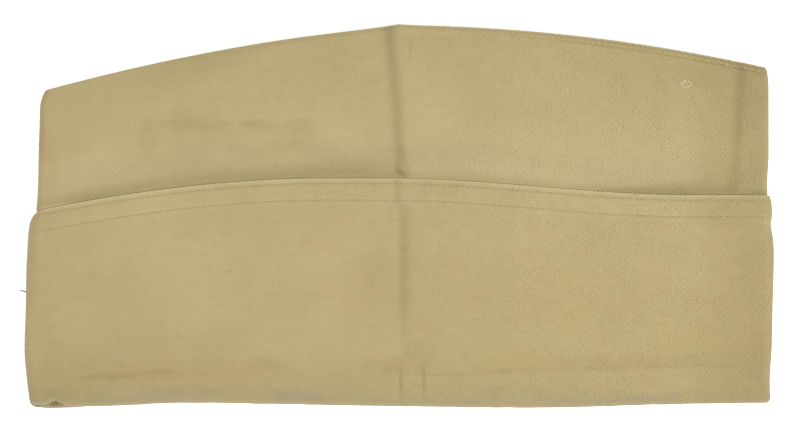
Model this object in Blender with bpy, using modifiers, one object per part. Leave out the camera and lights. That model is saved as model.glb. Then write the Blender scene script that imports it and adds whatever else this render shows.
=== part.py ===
"""Garrison cap in khaki cotton twill, pressed flat and lying on its left side.

Metres, +Z up. X runs along the cap from the back fold to the front fold, Y from the rim up to the top edge, and Z = 0 is
the surface that the cap lies on. Each side of the crown and of the turned-up curtain is one wall of cloth, which bends
round the cap's folded ends and meets its twin there. The gusset is one leaf, folded down inside the top.
"""

import math
from collections import namedtuple

import bmesh
import bpy

# Cloth, with the air that keeps two layers apart.
CROWN_CLOTH = 0.0010
GUSSET_CLOTH = 0.0010
CURTAIN_CLOTH = 0.0012
LAYER_GAP = 0.0003
SEAM_GAP = 0.0003

# Crown, measured on the flat cap from the rim up.
CROWN_LENGTH = 0.2749
CROWN_BACK_HEIGHT = 0.1172
CROWN_PEAK_HEIGHT = 0.1425
CROWN_FRONT_HEIGHT = 0.1262
PEAK_X = 0.0
BACK_ARCH_RISE = 0.0030
FRONT_ARCH_RISE = 0.0038
BACK_CORNER = 0.0026
FRONT_CORNER = 0.0010
CORNER_DEPTH = 0.0090

# Curtain, the cuff that is turned up outside the crown. Play is the air between it and the crown at each folded end,
# and drop is how far its edge sinks as it turns round that end.
BACK_PLAY = 0.0038
FRONT_PLAY = 0.0005
CURTAIN_BACK_HEIGHT = 0.0719
CURTAIN_PEAK_HEIGHT = 0.0850
CURTAIN_FRONT_HEIGHT = 0.0788
CURTAIN_STAND_OFF = 0.0008
RIM_HEM = 0.0075
CREST_BACK_SHARE = -0.21
CREST_FRONT_SHARE = -0.03
CREST_FOOT_SHARE = 0.77
CREST_POWER = 1.8
BACK_DROP = 0.0030
FRONT_DROP = 0.0004

# Gusset: how far its fold reaches down into the crown, at the middle and at its tips, and its leaf shape.
GUSSET_DEPTH = 0.0340
GUSSET_TIP_DEPTH = 0.0050
GUSSET_END_MARGIN = 0.0012
GUSSET_LEAF_POWER = 1.8

# How far the two sides lie apart: a slot at the folded ends, and the room that opens between them at the middle.
END_SLOT = 0.0006
SPREAD = 0.0064
SPREAD_POWER = 3.0
FALL_LENGTH = 0.0150
EDGE_MARGIN = 0.0010

# What the tables below are shares of.
CREASE_RISE = 0.0005
CREASE_WIDTH = 0.0060
END_BOW = 0.0032
RIM_WAVE = 0.0016
WAVE_REACH = 0.0450

# How far the sides lie apart, by height above the rim as a share of the peak height.
Fill = namedtuple("Fill", "up fill")
FILLS = (
    Fill(0.00, 0.94),
    Fill(0.18, 1.00),
    Fill(0.42, 0.86),
    Fill(0.60, 0.60),
    Fill(0.78, 0.28),
    Fill(1.00, 0.05),
)

# How far the curtain's folded ends lie inside its full length, by height as a share of the curtain's own.
Bow = namedtuple("Bow", "up back front")
END_BOWS = (
    Bow(0.00, 0.64, 0.35),
    Bow(0.11, 0.33, 0.47),
    Bow(0.27, 0.00, 0.23),
    Bow(0.48, 0.13, 0.12),
    Bow(0.70, 0.23, 0.00),
    Bow(0.88, 0.44, 0.29),
    Bow(1.00, 1.00, 0.47),
)

# How far the rim waves below a straight line, by place along the cap from -1 at the back to 1 at the front.
Wave = namedtuple("Wave", "along right left")
RIM_WAVES = (
    Wave(-1.00, -0.10, 0.20),
    Wave(-0.93, 0.10, 1.00),
    Wave(-0.80, 0.23, 0.35),
    Wave(-0.58, -0.71, -0.54),
    Wave(-0.36, -0.57, -0.42),
    Wave(0.00, -0.02, 0.13),
    Wave(0.40, 0.31, 0.44),
    Wave(0.70, -0.26, -0.13),
    Wave(1.00, -0.52, -0.40),
)

# Creases pressed across the upper side: a ridge is above 0 and a valley below it.
Crease = namedtuple("Crease", "along width crown_rise curtain_rise")
CREASES = (
    Crease(0.000, 1.00, 1.00, -0.90),
    Crease(0.905, 0.70, -0.80, 0.00),
)

# Mesh stations along the cap, angles round its folded ends and round a fold, and rows across each piece.
STATIONS = (-0.93, -0.85, -0.72, -0.58, -0.44, -0.30, -0.16, -0.06, -0.025, 0.0, 0.025, 0.06, 0.16, 0.30, 0.44,
            0.58, 0.72, 0.82, 0.87, 0.905, 0.935)
END_TURNS = (0, 22, 45, 68, 90)
FOLD_TURNS = (30, 60, 90, 120, 150)
COVERED_ROWS = (0.0, 0.07, 0.25, 0.45, 0.65, 0.85, 1.0)
BARE_ROWS = (0.13, 0.28, 0.45, 0.62, 0.78, 0.88, 0.94, 0.975, 1.0)
HEM_ROWS = (0.0, 0.5, 1.0)
GUSSET_ROWS = (0.0, 0.3, 0.65, 1.0)

KHAKI = (0.509, 0.413, 0.212, 1.0)
KHAKI_UNDERSIDE = (0.47, 0.38, 0.20, 1.0)
CLOTH_ROUGHNESS = 0.9

# Worked out from the sizes above.
UPPER, LOWER = 1, -1
LAYERS_IN_RIM = CROWN_CLOTH + LAYER_GAP + CURTAIN_CLOTH
LAYERS_IN_TOP = CROWN_CLOTH + LAYER_GAP + GUSSET_CLOTH
END_THICKNESS = 2 * max(LAYERS_IN_RIM, LAYERS_IN_TOP) + END_SLOT
FOLD_RADIUS = (CROWN_CLOTH + CURTAIN_CLOTH) / 2 + LAYER_GAP
FOLD_CENTRE = FOLD_RADIUS + CURTAIN_CLOTH / 2
FLOOR_LIFT = CURTAIN_CLOTH + LAYER_GAP
CURTAIN_LENGTH = CROWN_LENGTH + BACK_PLAY + FRONT_PLAY + 2 * CURTAIN_CLOTH
CURTAIN_BACK = -CURTAIN_LENGTH / 2
CURTAIN_FRONT = CURTAIN_LENGTH / 2
CROWN_BACK = CURTAIN_BACK + CURTAIN_CLOTH + BACK_PLAY
CROWN_FRONT = CURTAIN_FRONT - CURTAIN_CLOTH - FRONT_PLAY


def eased(share):
    """0 to 1 with a level start and end."""
    share = min(max(share, 0.0), 1.0)
    return share * share * (3 - 2 * share)


def read_table(table, column, at):
    """A column of a table at any place along its first column, on a smooth curve through its rows."""
    places = [row[0] for row in table]
    values = [getattr(row, column) for row in table]
    at = min(max(at, places[0]), places[-1])
    last = len(table) - 1
    slopes = []
    for i in range(len(table)):
        low, high = max(i - 1, 0), min(i + 1, last)
        slopes.append((values[high] - values[low]) / (places[high] - places[low]))
    k = max(i for i in range(last) if places[i] <= at)
    step = places[k + 1] - places[k]
    t = (at - places[k]) / step
    level_ended = values[k] + (values[k + 1] - values[k]) * eased(t)
    return level_ended + step * t * (1 - t) * (slopes[k] * (1 - t) - slopes[k + 1] * t)


def crown_top(x):
    """Height of the crown's top edge above the rim: an arch on each side of the peak, kinked where they meet."""
    if x < PEAK_X:
        end, end_height, rise = CROWN_BACK, CROWN_BACK_HEIGHT, BACK_ARCH_RISE
    else:
        end, end_height, rise = CROWN_FRONT, CROWN_FRONT_HEIGHT, FRONT_ARCH_RISE
    share = (x - PEAK_X) / (end - PEAK_X)
    return CROWN_PEAK_HEIGHT + (end_height - CROWN_PEAK_HEIGHT) * share + 4 * rise * share * (1 - share)


def curtain_top(x):
    """Height of the curtain's upper edge above the rim: a crest that curves down to the back and sweeps to the front."""
    along = 2 * x / CURTAIN_LENGTH
    if along < CREST_BACK_SHARE:
        share = min((CREST_BACK_SHARE - along) / (1 + CREST_BACK_SHARE), 1.0)
        return CURTAIN_PEAK_HEIGHT - (CURTAIN_PEAK_HEIGHT - CURTAIN_BACK_HEIGHT) * share**CREST_POWER
    sweep = eased((along - CREST_FRONT_SHARE) / (CREST_FOOT_SHARE - CREST_FRONT_SHARE))
    return CURTAIN_PEAK_HEIGHT - (CURTAIN_PEAK_HEIGHT - CURTAIN_FRONT_HEIGHT) * sweep


def rim(x, height, side):
    """How far the rim's waves move the cloth along Y: fully at the rim, and less and less up to WAVE_REACH."""
    wave = read_table(RIM_WAVES, "right" if side == UPPER else "left", 2 * x / CURTAIN_LENGTH)
    return -RIM_WAVE * wave * (1 - eased(height / WAVE_REACH))


def crease_rise(x, height):
    """How far the pressed creases lift or sink the upper side."""
    bare = eased((height - curtain_top(x)) / (2 * EDGE_MARGIN))
    total = 0.0
    for crease in CREASES:
        offset = (x - crease.along * CROWN_LENGTH / 2) / (crease.width * CREASE_WIDTH)
        rise = crease.curtain_rise + (crease.crown_rise - crease.curtain_rise) * bare
        total += CREASE_RISE * rise * math.exp(-offset * offset)
    return total


def thickness(x, height):
    """Crown's thickness from its lower outer face to its upper outer face."""
    reach = min(abs(x) / (CROWN_LENGTH / 2), 1.0)
    belly = (1 - reach**SPREAD_POWER)**2
    fill = read_table(FILLS, "fill", height / CROWN_PEAK_HEIGHT)
    return END_THICKNESS + SPREAD * fill * belly + crease_rise(x, height) * (1 - reach**(4 * SPREAD_POWER))


def floor_lift(x, height):
    """Height of the crown's lower outer face: on the curtain's lower side, then down onto the surface past its edge."""
    past_edge = height - curtain_top(x) - EDGE_MARGIN
    return FLOOR_LIFT * (1 - eased(past_edge / FALL_LENGTH))


def curtain_ends(x, height, inset):
    """X of the curtain's back and front folded ends at a height, moved inwards by inset."""
    up = height / curtain_top(x)
    back = CURTAIN_BACK + inset + END_BOW * read_table(END_BOWS, "back", up)
    front = CURTAIN_FRONT - inset - END_BOW * read_table(END_BOWS, "front", up)
    return back, front


def crown_ends(x, height, inset):
    """X of the crown's back and front folded ends at a height, moved inwards by inset.
    The curtain holds them in below its edge, and the top corners are rounded."""
    top = crown_top(x)
    held = 1 - eased((height - curtain_top(x) - EDGE_MARGIN) / FALL_LENGTH)
    inside_curtain = curtain_ends(x, height, CURTAIN_CLOTH + LAYER_GAP)
    ends = []
    for end, limit, corner, inwards in (
        (CROWN_BACK, inside_curtain[0], BACK_CORNER, 1),
        (CROWN_FRONT, inside_curtain[1], FRONT_CORNER, -1),
    ):
        held_in = held * max(inwards * (limit - end), 0.0)
        into_corner = max(1 - (top - height) / CORNER_DEPTH, 0.0)
        ends.append(end + inwards * (inset + held_in + corner * into_corner**3))
    return ends


def nominal_x(share):
    """X that sets a column's heights: its station, or the crown's end for the columns that turn round an end."""
    return CROWN_BACK if share <= -1 else CROWN_FRONT if share >= 1 else share * CROWN_LENGTH / 2


def on_wall(side, column, ends, middle, half):
    """X and Z of a wall's mid-surface: level along the side, then round the folded end to the seam.
    middle and half give, at any x, the height of the plane between the two sides and the wall's distance from it."""
    share, turn = column
    back, front = ends
    if share <= -1:
        x = back + half(back)
    elif share >= 1:
        x = front - half(front)
    else:
        x = share * CROWN_LENGTH / 2
    radius = half(x)
    turned = math.radians(turn)
    z = middle(x) + side * (SEAM_GAP / 2 + (radius - SEAM_GAP / 2) * math.cos(turned))
    return x + radius * math.sin(turned), z


def crown_wall(side, column, height):
    """A point of a crown side's mid-surface, as X and Z."""
    ends = crown_ends(nominal_x(column[0]), height, CROWN_CLOTH / 2)
    return on_wall(
        side, column, ends,
        lambda x: floor_lift(x, height) + thickness(x, height) / 2,
        lambda x: (thickness(x, height) - CROWN_CLOTH) / 2,
    )


def curtain_wall(side, column, height):
    """A point of the curtain's outer mid-surface, as X and Z. Its upper side stands off a little towards its edge."""
    def outside(x):
        stand_off = CURTAIN_STAND_OFF * eased(height / curtain_top(x)) * (1 - (2 * x / CURTAIN_LENGTH)**4)
        return FLOOR_LIFT + thickness(x, height) + LAYER_GAP + stand_off + CURTAIN_CLOTH

    ends = curtain_ends(nominal_x(column[0]), height, CURTAIN_CLOTH / 2)
    return on_wall(side, column, ends, lambda x: outside(x) / 2, lambda x: (outside(x) - CURTAIN_CLOTH) / 2)


def hem_wall(side, column, height):
    """A point of the mid-surface of the hem that is turned in at the rim, inside the crown, as X and Z."""
    depth = CROWN_CLOTH + LAYER_GAP + CURTAIN_CLOTH / 2
    ends = crown_ends(nominal_x(column[0]), height, depth)
    return on_wall(
        side, column, ends,
        lambda x: FLOOR_LIFT + thickness(x, height) / 2,
        lambda x: thickness(x, height) / 2 - depth,
    )


def around_fold(start, end, reach, turn):
    """A point on the half turn from start to end that reaches out along -Y."""
    turned = math.radians(turn)
    x, y, z = [(a + b) / 2 + (a - b) / 2 * math.cos(turned) for a, b in zip(start, end)]
    return x, y - reach * math.sin(turned), z


def columns():
    """Share along the side and turn round an end, in degrees, for each column of a wall's mesh."""
    back = [(-1, -turn) for turn in reversed(END_TURNS)]
    front = [(1, turn) for turn in END_TURNS]
    return back + [(share, 0) for share in STATIONS] + front


def crown_rows(side):
    """The crown side's rows of points, from its lower edge in the rim's fold to its top edge."""
    rows = []
    for zone, shares in (("covered", COVERED_ROWS), ("bare", BARE_ROWS)):
        for share in shares:
            row = []
            for column in columns():
                x = nominal_x(column[0])
                edge = curtain_top(x) + EDGE_MARGIN
                if zone == "covered":
                    height = FOLD_CENTRE + share * (edge - FOLD_CENTRE)
                else:
                    height = edge + share * (crown_top(x) - edge)
                on_x, on_z = crown_wall(side, column, height)
                row.append((on_x, height + rim(on_x, height, side), on_z))
            rows.append(row)
    return rows


def curtain_edge(column):
    """Height of the curtain's upper edge at a column, sunk where it turns round a folded end."""
    share, turn = column
    drop = BACK_DROP if share < 0 else FRONT_DROP
    return curtain_top(nominal_x(share)) - drop * (1 - math.cos(math.radians(turn)))


def curtain_rows(side):
    """The curtain side's rows of points: down its outer wall, round the rim's fold, and up the hem inside the crown."""
    outer, hem = [], []
    for share in reversed(COVERED_ROWS):
        row = []
        for column in columns():
            height = FOLD_CENTRE + share * (curtain_edge(column) - FOLD_CENTRE)
            x, z = curtain_wall(side, column, height)
            row.append((x, height + rim(x, height, side), z))
        outer.append(row)
    for share in HEM_ROWS:
        height = FOLD_CENTRE + share * (RIM_HEM - FOLD_CENTRE)
        row = []
        for column in columns():
            x, z = hem_wall(side, column, height)
            row.append((x, height + rim(x, height, side), z))
        hem.append(row)
    fold = []
    for turn in FOLD_TURNS:
        fold.append([around_fold(start, end, FOLD_RADIUS, turn) for start, end in zip(outer[-1], hem[0])])
    return outer + fold + hem


def gusset_rows():
    """The gusset's rows of points: down under the upper side, round its fold, and up over the lower side."""
    back = CROWN_BACK + END_THICKNESS / 2 + BACK_CORNER + GUSSET_END_MARGIN
    front = CROWN_FRONT - END_THICKNESS / 2 - FRONT_CORNER - GUSSET_END_MARGIN
    middle, half_length = (back + front) / 2, (front - back) / 2
    stations = [share * CROWN_LENGTH / 2 for share in STATIONS]
    inside = [x for x in stations if back + GUSSET_END_MARGIN < x < front - GUSSET_END_MARGIN]
    places = [back, *inside, front]
    under_crown = CROWN_CLOTH + LAYER_GAP + GUSSET_CLOTH / 2

    def ply(x, height, side):
        lift, thick = floor_lift(x, height), thickness(x, height)
        return lift + thick - under_crown if side == UPPER else lift + under_crown

    def fold_height(x):
        leaf = max(1 - abs((x - middle) / half_length)**GUSSET_LEAF_POWER, 0.0)
        return crown_top(x) - GUSSET_TIP_DEPTH - (GUSSET_DEPTH - GUSSET_TIP_DEPTH) * leaf

    def straight(side, shares):
        rows = []
        for share in shares:
            row = []
            for x in places:
                height = crown_top(x) + share * (fold_height(x) - crown_top(x))
                row.append((x, height, ply(x, height, side)))
            rows.append(row)
        return rows

    upper, lower = straight(UPPER, GUSSET_ROWS), straight(LOWER, reversed(GUSSET_ROWS))
    fold = []
    for turn in FOLD_TURNS:
        ends = zip(upper[-1], lower[0])
        fold.append([around_fold(start, end, (start[2] - end[2]) / 2, turn) for start, end in ends])
    return upper + fold + lower


def cloth_material(name, colour):
    """A plain matt cloth finish."""
    material = bpy.data.materials.new(name)
    material.use_nodes = True
    shader = material.node_tree.nodes["Principled BSDF"]
    shader.inputs["Base Color"].default_value = colour
    shader.inputs["Roughness"].default_value = CLOTH_ROUGHNESS
    shader.inputs["Metallic"].default_value = 0.0
    material.diffuse_color = colour
    return material


def cloth_piece(name, rows, cloth, colour, collection):
    """A wall of cloth: a grid laid through the rows of points, with its thickness on both sides of them."""
    grid = bmesh.new()
    across, along = len(rows) - 1, len(rows[0]) - 1
    half_size = 1.0
    bmesh.ops.create_grid(grid, x_segments=along, y_segments=across, size=half_size)
    for vertex in grid.verts:
        column = round((vertex.co.x / half_size + 1) / 2 * along)
        row = round((vertex.co.y / half_size + 1) / 2 * across)
        vertex.co = rows[row][column]
    mesh = bpy.data.meshes.new(name)
    grid.to_mesh(mesh)
    grid.free()
    mesh.shade_smooth()
    mesh.materials.append(cloth_material(name, colour))
    piece = bpy.data.objects.new(name, mesh)
    wall = piece.modifiers.new("cloth", "SOLIDIFY")
    wall.thickness = cloth
    wall.offset = 0.0
    wall.use_even_offset = True
    collection.objects.link(piece)
    return piece


def centre_on_origin(pieces, cap):
    """Places the cap so that its box is centred over the origin, with every piece riding on one empty."""
    for piece in pieces:
        piece.parent = cap
    bpy.context.view_layer.update()
    corners = []
    graph = bpy.context.evaluated_depsgraph_get()
    for piece in pieces:
        corners.extend(tuple(vertex.co) for vertex in piece.evaluated_get(graph).data.vertices)
    spans = [(min(values), max(values)) for values in zip(*corners)]
    cap.location = (-sum(spans[0]) / 2, -sum(spans[1]) / 2, -spans[2][0])


def main():
    for leftover in list(bpy.data.objects):
        bpy.data.objects.remove(leftover)
    collection = bpy.data.collections.new("garrison_cap")
    bpy.context.scene.collection.children.link(collection)
    cap = bpy.data.objects.new("cap", None)
    collection.objects.link(cap)
    pieces = [
        cloth_piece("crown_side_right", crown_rows(UPPER), CROWN_CLOTH, KHAKI, collection),
        cloth_piece("crown_side_left", crown_rows(LOWER), CROWN_CLOTH, KHAKI_UNDERSIDE, collection),
        cloth_piece("crown_gusset", gusset_rows(), GUSSET_CLOTH, KHAKI, collection),
        cloth_piece("curtain_right", curtain_rows(UPPER), CURTAIN_CLOTH, KHAKI, collection),
        cloth_piece("curtain_left", curtain_rows(LOWER), CURTAIN_CLOTH, KHAKI_UNDERSIDE, collection),
    ]
    centre_on_origin(pieces, cap)


main()
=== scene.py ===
"""Garrison cap in faded khaki twill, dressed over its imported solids.

Every piece of cloth is laid out in the cap's own frame: X from the back fold to the front fold, Y from the
rim to the top edge, Z up through the flat cap. A height is measured from the rim's line along Y.
"""
import math
from collections import namedtuple

import bmesh
import bpy
import numpy as np
from mathutils import Matrix, Vector


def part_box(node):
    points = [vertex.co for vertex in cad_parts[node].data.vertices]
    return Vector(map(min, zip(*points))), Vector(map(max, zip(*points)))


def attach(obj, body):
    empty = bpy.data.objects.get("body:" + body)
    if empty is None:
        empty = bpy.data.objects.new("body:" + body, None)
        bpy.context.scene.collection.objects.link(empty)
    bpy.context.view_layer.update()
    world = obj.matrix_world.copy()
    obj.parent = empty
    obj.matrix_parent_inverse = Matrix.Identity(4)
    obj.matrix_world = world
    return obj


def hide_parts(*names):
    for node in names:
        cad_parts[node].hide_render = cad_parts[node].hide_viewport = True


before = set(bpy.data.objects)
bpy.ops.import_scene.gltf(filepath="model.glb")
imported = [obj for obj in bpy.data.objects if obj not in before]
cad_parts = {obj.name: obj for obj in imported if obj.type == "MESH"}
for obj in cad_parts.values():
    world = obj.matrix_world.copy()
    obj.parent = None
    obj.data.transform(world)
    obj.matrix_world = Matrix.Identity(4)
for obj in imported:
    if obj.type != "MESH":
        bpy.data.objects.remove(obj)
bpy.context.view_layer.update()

bl_info = {
    "name": "Garrison cap",
    "version": (1, 0, 0),
    "blender": (4, 5, 0),
    "location": "3D View > Sidebar > Garrison cap",
    "description": "Dresses a flat garrison cap in faded twill with its stitching, creases and stains",
    "category": "Object",
}

CROWN_BOX = [list(corner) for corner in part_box("crown_side_right")]
CURTAIN_BOX = [list(corner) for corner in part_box("curtain_right")]
BODY = "root"
UPPER, LOWER = 1, -1

# Sizes are in metres, unless a comment says otherwise. These shape the crown's outline: the heights of its
# top edge over the rim's line, how far its two arches rise, and the small cusp and dip beside the crease.
CROWN_BACK, CROWN_FRONT = CROWN_BOX[0][0], CROWN_BOX[1][0]
HALF_LENGTH = (CROWN_FRONT - CROWN_BACK) / 2
CROWN_BACK_HEIGHT = 0.1172
CROWN_PEAK_HEIGHT = 0.1425
CROWN_FRONT_HEIGHT = 0.1262
BACK_ARCH_RISE = 0.0030
FRONT_ARCH_RISE = 0.0038
PEAK_CUSP = 0.0003
BACK_DIP = 0.0002
EDGE_FUZZ = 0.00010
RIM_LINE_Y = CROWN_BOX[1][1] - CROWN_PEAK_HEIGHT

# The curtain's upper edge: its heights, and where its crest starts and ends as shares of its front half.
CURTAIN_BACK, CURTAIN_FRONT = CURTAIN_BOX[0][0], CURTAIN_BOX[1][0]
CURTAIN_BACK_HEIGHT = 0.0719
CURTAIN_PEAK_HEIGHT = 0.0850
CURTAIN_FRONT_HEIGHT = 0.0788
CREST_BACK_SHARE = -0.21
CREST_FRONT_SHARE = -0.03
CREST_FOOT_SHARE = 0.77
CREST_POWER = 1.8

# Cloth and the gaps between its layers. The sheets are laid a little thinner than the solids, which leaves
# room for their relief.
CROWN_CLOTH = 0.0010
CURTAIN_CLOTH = 0.0012
CROWN_SHEET = CROWN_CLOTH * 0.85
CURTAIN_SHEET = CURTAIN_CLOTH * 0.9
LAYER_GAP = 0.0003
SEAM_GAP = 0.0003
FOLD_RADIUS = (CROWN_CLOTH + CURTAIN_CLOTH) / 2 + LAYER_GAP
FOLD_CENTRE = FOLD_RADIUS + CURTAIN_CLOTH / 2
FLOOR_LIFT = CURTAIN_CLOTH + LAYER_GAP

# How thick the crown is at its folded ends and how much more in the middle, and where it settles past the
# curtain's edge.
END_THICKNESS = 0.0056
SPREAD = 0.0064
SPREAD_POWER = 3.0
EDGE_MARGIN = 0.0010
FALL_LENGTH = 0.0150

# The curtain's upper edge stands off the crown, is pressed thin, and makes the crown swell and roll over it.
STAND_OFF = 0.0010
EDGE_PRESS = 0.00060
EDGE_THINNING = 0.40
BULGE_FALL = 0.0055
EDGE_ROLL = 0.00085

# The rim: its turned-in hem, its waves, and the pucker at its back corner.
RIM_HEM = 0.0075
RIM_WAVE = 0.0016
WAVE_REACH = 0.0450
PUCKER_X = -0.1290
PUCKER_RISE = 0.0024

# The folded ends: how far they bow and lean, how blunt the crown's corners are, and how far an edge sinks
# there.
END_BOW = 0.0032
END_LEAN = 0.0005
BACK_CORNER = 0.0017
FRONT_CORNER = 0.0010
CORNER_DEPTH = 0.0090
BACK_DROP = 0.0032
FRONT_DROP = 0.0004

# The crown's welt, the seam allowance that shows through near its front, and its pin hole.
WELT_STRIP = 0.0011
SEAM_SETBACK = 0.0120
SEAM_CURVE = 1.25
PIN_HOLE = (0.1075, 0.0501)

# The gusset, a leaf that is folded down inside the top.
GUSSET_DEPTH = 0.0340
GUSSET_TIP_DEPTH = 0.0050
GUSSET_LEAF_POWER = 1.8
GUSSET_END_MARGIN = 0.0012

# Where the weave starts to show more sharply towards the front, and how sharply it shows behind that.
CROWN_CRISPNESS = (-0.038, 0.50)
CURTAIN_CRISPNESS = (-0.035, 0.34)

# The columns and rows of the sheets' meshes. Columns are evenly spaced up to STRAIGHT_SHARE of the half
# length.
COLUMN_STEP = 0.00100
STRAIGHT_SHARE = 0.85
END_COLUMNS = 10
COVERED_ROWS = 25
BARE_ROWS = 52
TOP_ROWS_DEPTH = 0.0044
TOP_ROW_STEP = 0.0004
HEM_ROWS_DEPTH = 0.0112
HEM_ROW_STEP = 0.00045
CURTAIN_ROW_STEP = 0.0011
HEM_ROWS = 7
FOLD_STEPS = 12
GUSSET_COLUMNS = 180
GUSSET_FOLD_STEPS = 10

# How far the curtain's stitches reach to both sides of the middle, and where the welt's start and end.
STITCHED_REACH = 0.142
WELT_START, WELT_END = 0.006, 0.136

# The loose threads: a ring of them round the pin hole, one at the back fold and a short one higher up there.
PIN_THREADS = 12
PIN_RING = (0.0019, 0.0012)
BARE_THREAD_WIDTH = 0.00040
LINT_ROUTE = (
    (-0.1388, -0.0281, 0.0046),
    (-0.1400, -0.0280, 0.0050),
    (-0.1409, -0.0278, 0.0053),
    (-0.1417, -0.0275, 0.0052),
    (-0.1424, -0.0274, 0.0049),
)
LINT_WIDTH = 0.00050
NICK_ROUTE = ((-0.1342, 0.0271, 0.0046), (-0.1349, 0.0274, 0.0047), (-0.1356, 0.0276, 0.0045))
NICK_WIDTH = 0.00044

# The stage. The camera looks straight down, and its view is VIEW_WIDTH wide at the height of VIEW_CENTRE.
FLOOR_REACH = 6.0
KEY_SIZE = 3.0
KEY_PLACE = (1.35, -1.85, 3.05)
VIEW_WIDTH = 0.3005
VIEW_CENTRE = (0.0003, -0.00025, 0.0048)

# How full the crown is by height, as shares of its peak's height and of SPREAD.
Fill = namedtuple("Fill", "up fill")
FILLS = (
    Fill(0.00, 0.94),
    Fill(0.18, 1.00),
    Fill(0.42, 0.86),
    Fill(0.60, 0.60),
    Fill(0.78, 0.28),
    Fill(1.00, 0.05),
)

# How far the curtain's folded ends bow inwards by height, as shares of its height there and of END_BOW.
Bow = namedtuple("Bow", "up back front")
END_BOWS = (
    Bow(0.00, 0.64, 0.35),
    Bow(0.11, 0.33, 0.47),
    Bow(0.27, 0.00, 0.23),
    Bow(0.48, 0.13, 0.12),
    Bow(0.70, 0.23, 0.00),
    Bow(0.79, 0.33, 0.10),
    Bow(0.855, 0.40, 0.35),
    Bow(0.915, 0.55, 0.20),
    Bow(1.00, 1.00, 0.42),
)

# How far each side's rim waves outwards by place along the cap, as shares of the front half and of RIM_WAVE.
Wave = namedtuple("Wave", "along right left")
RIM_WAVES = (
    Wave(-1.00, -0.10, 0.20),
    Wave(-0.93, 0.10, 1.00),
    Wave(-0.80, 0.23, 0.35),
    Wave(-0.58, -0.71, -0.54),
    Wave(-0.36, -0.57, -0.42),
    Wave(0.00, -0.02, 0.13),
    Wave(0.40, 0.31, 0.44),
    Wave(0.70, -0.26, -0.13),
    Wave(1.00, -0.52, -0.40),
)

# Where the pressed crease runs on the bare crown, in metres: its place along the cap by height above the
# rim. The valley in the curtain is straight, and the ridge's back flank is CREASE_FLANK wide.
Crease = namedtuple("Crease", "height place")
CREASES = (
    Crease(0.086, 0.0026),
    Crease(0.099, 0.0022),
    Crease(0.112, 0.0014),
    Crease(0.124, 0.0003),
    Crease(0.143, -0.0018),
)
VALLEY_X = 0.0002
CREASE_FLANK = 0.0048

# How far the curtain's upper edge stands off the crown, by place along the cap, as a share of STAND_OFF,
# how strongly the painted shadow of that edge darkens the crown over it, and how many millimetres up.
Lift = namedtuple("Lift", "along off shade reach")
EDGE_LIFTS = (
    Lift(-1.00, 0.60, 0.20, 3.0),
    Lift(-0.92, 0.75, 0.34, 3.6),
    Lift(-0.84, 0.90, 0.74, 4.8),
    Lift(-0.68, 0.95, 0.58, 7.0),
    Lift(-0.40, 1.00, 0.55, 7.0),
    Lift(-0.14, 1.00, 0.66, 9.5),
    Lift(-0.03, 1.00, 0.62, 9.0),
    Lift(0.06, 0.30, 0.38, 3.2),
    Lift(0.20, 0.15, 0.50, 2.4),
    Lift(0.46, 0.30, 0.48, 1.9),
    Lift(0.56, 0.70, 0.74, 3.0),
    Lift(0.63, 0.90, 1.00, 3.8),
    Lift(0.79, 1.10, 0.90, 6.5),
    Lift(0.90, 0.90, 0.90, 4.6),
    Lift(0.96, 0.70, 1.00, 3.9),
    Lift(1.00, 0.50, 0.80, 3.0),
)

# A mark under SMALL_SPOT in half width keeps a clean outline. Another's outline wanders, by NARROW_SHIFT
# where its half height is under NARROW_SPOT and else by BROAD_SHIFT. The shifts are in metres and the rest
# in millimetres.
SMALL_SPOT = 2.0
NARROW_SPOT = 1.5
NARROW_SHIFT = 0.0010
BROAD_SHIFT = 0.0035
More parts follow.
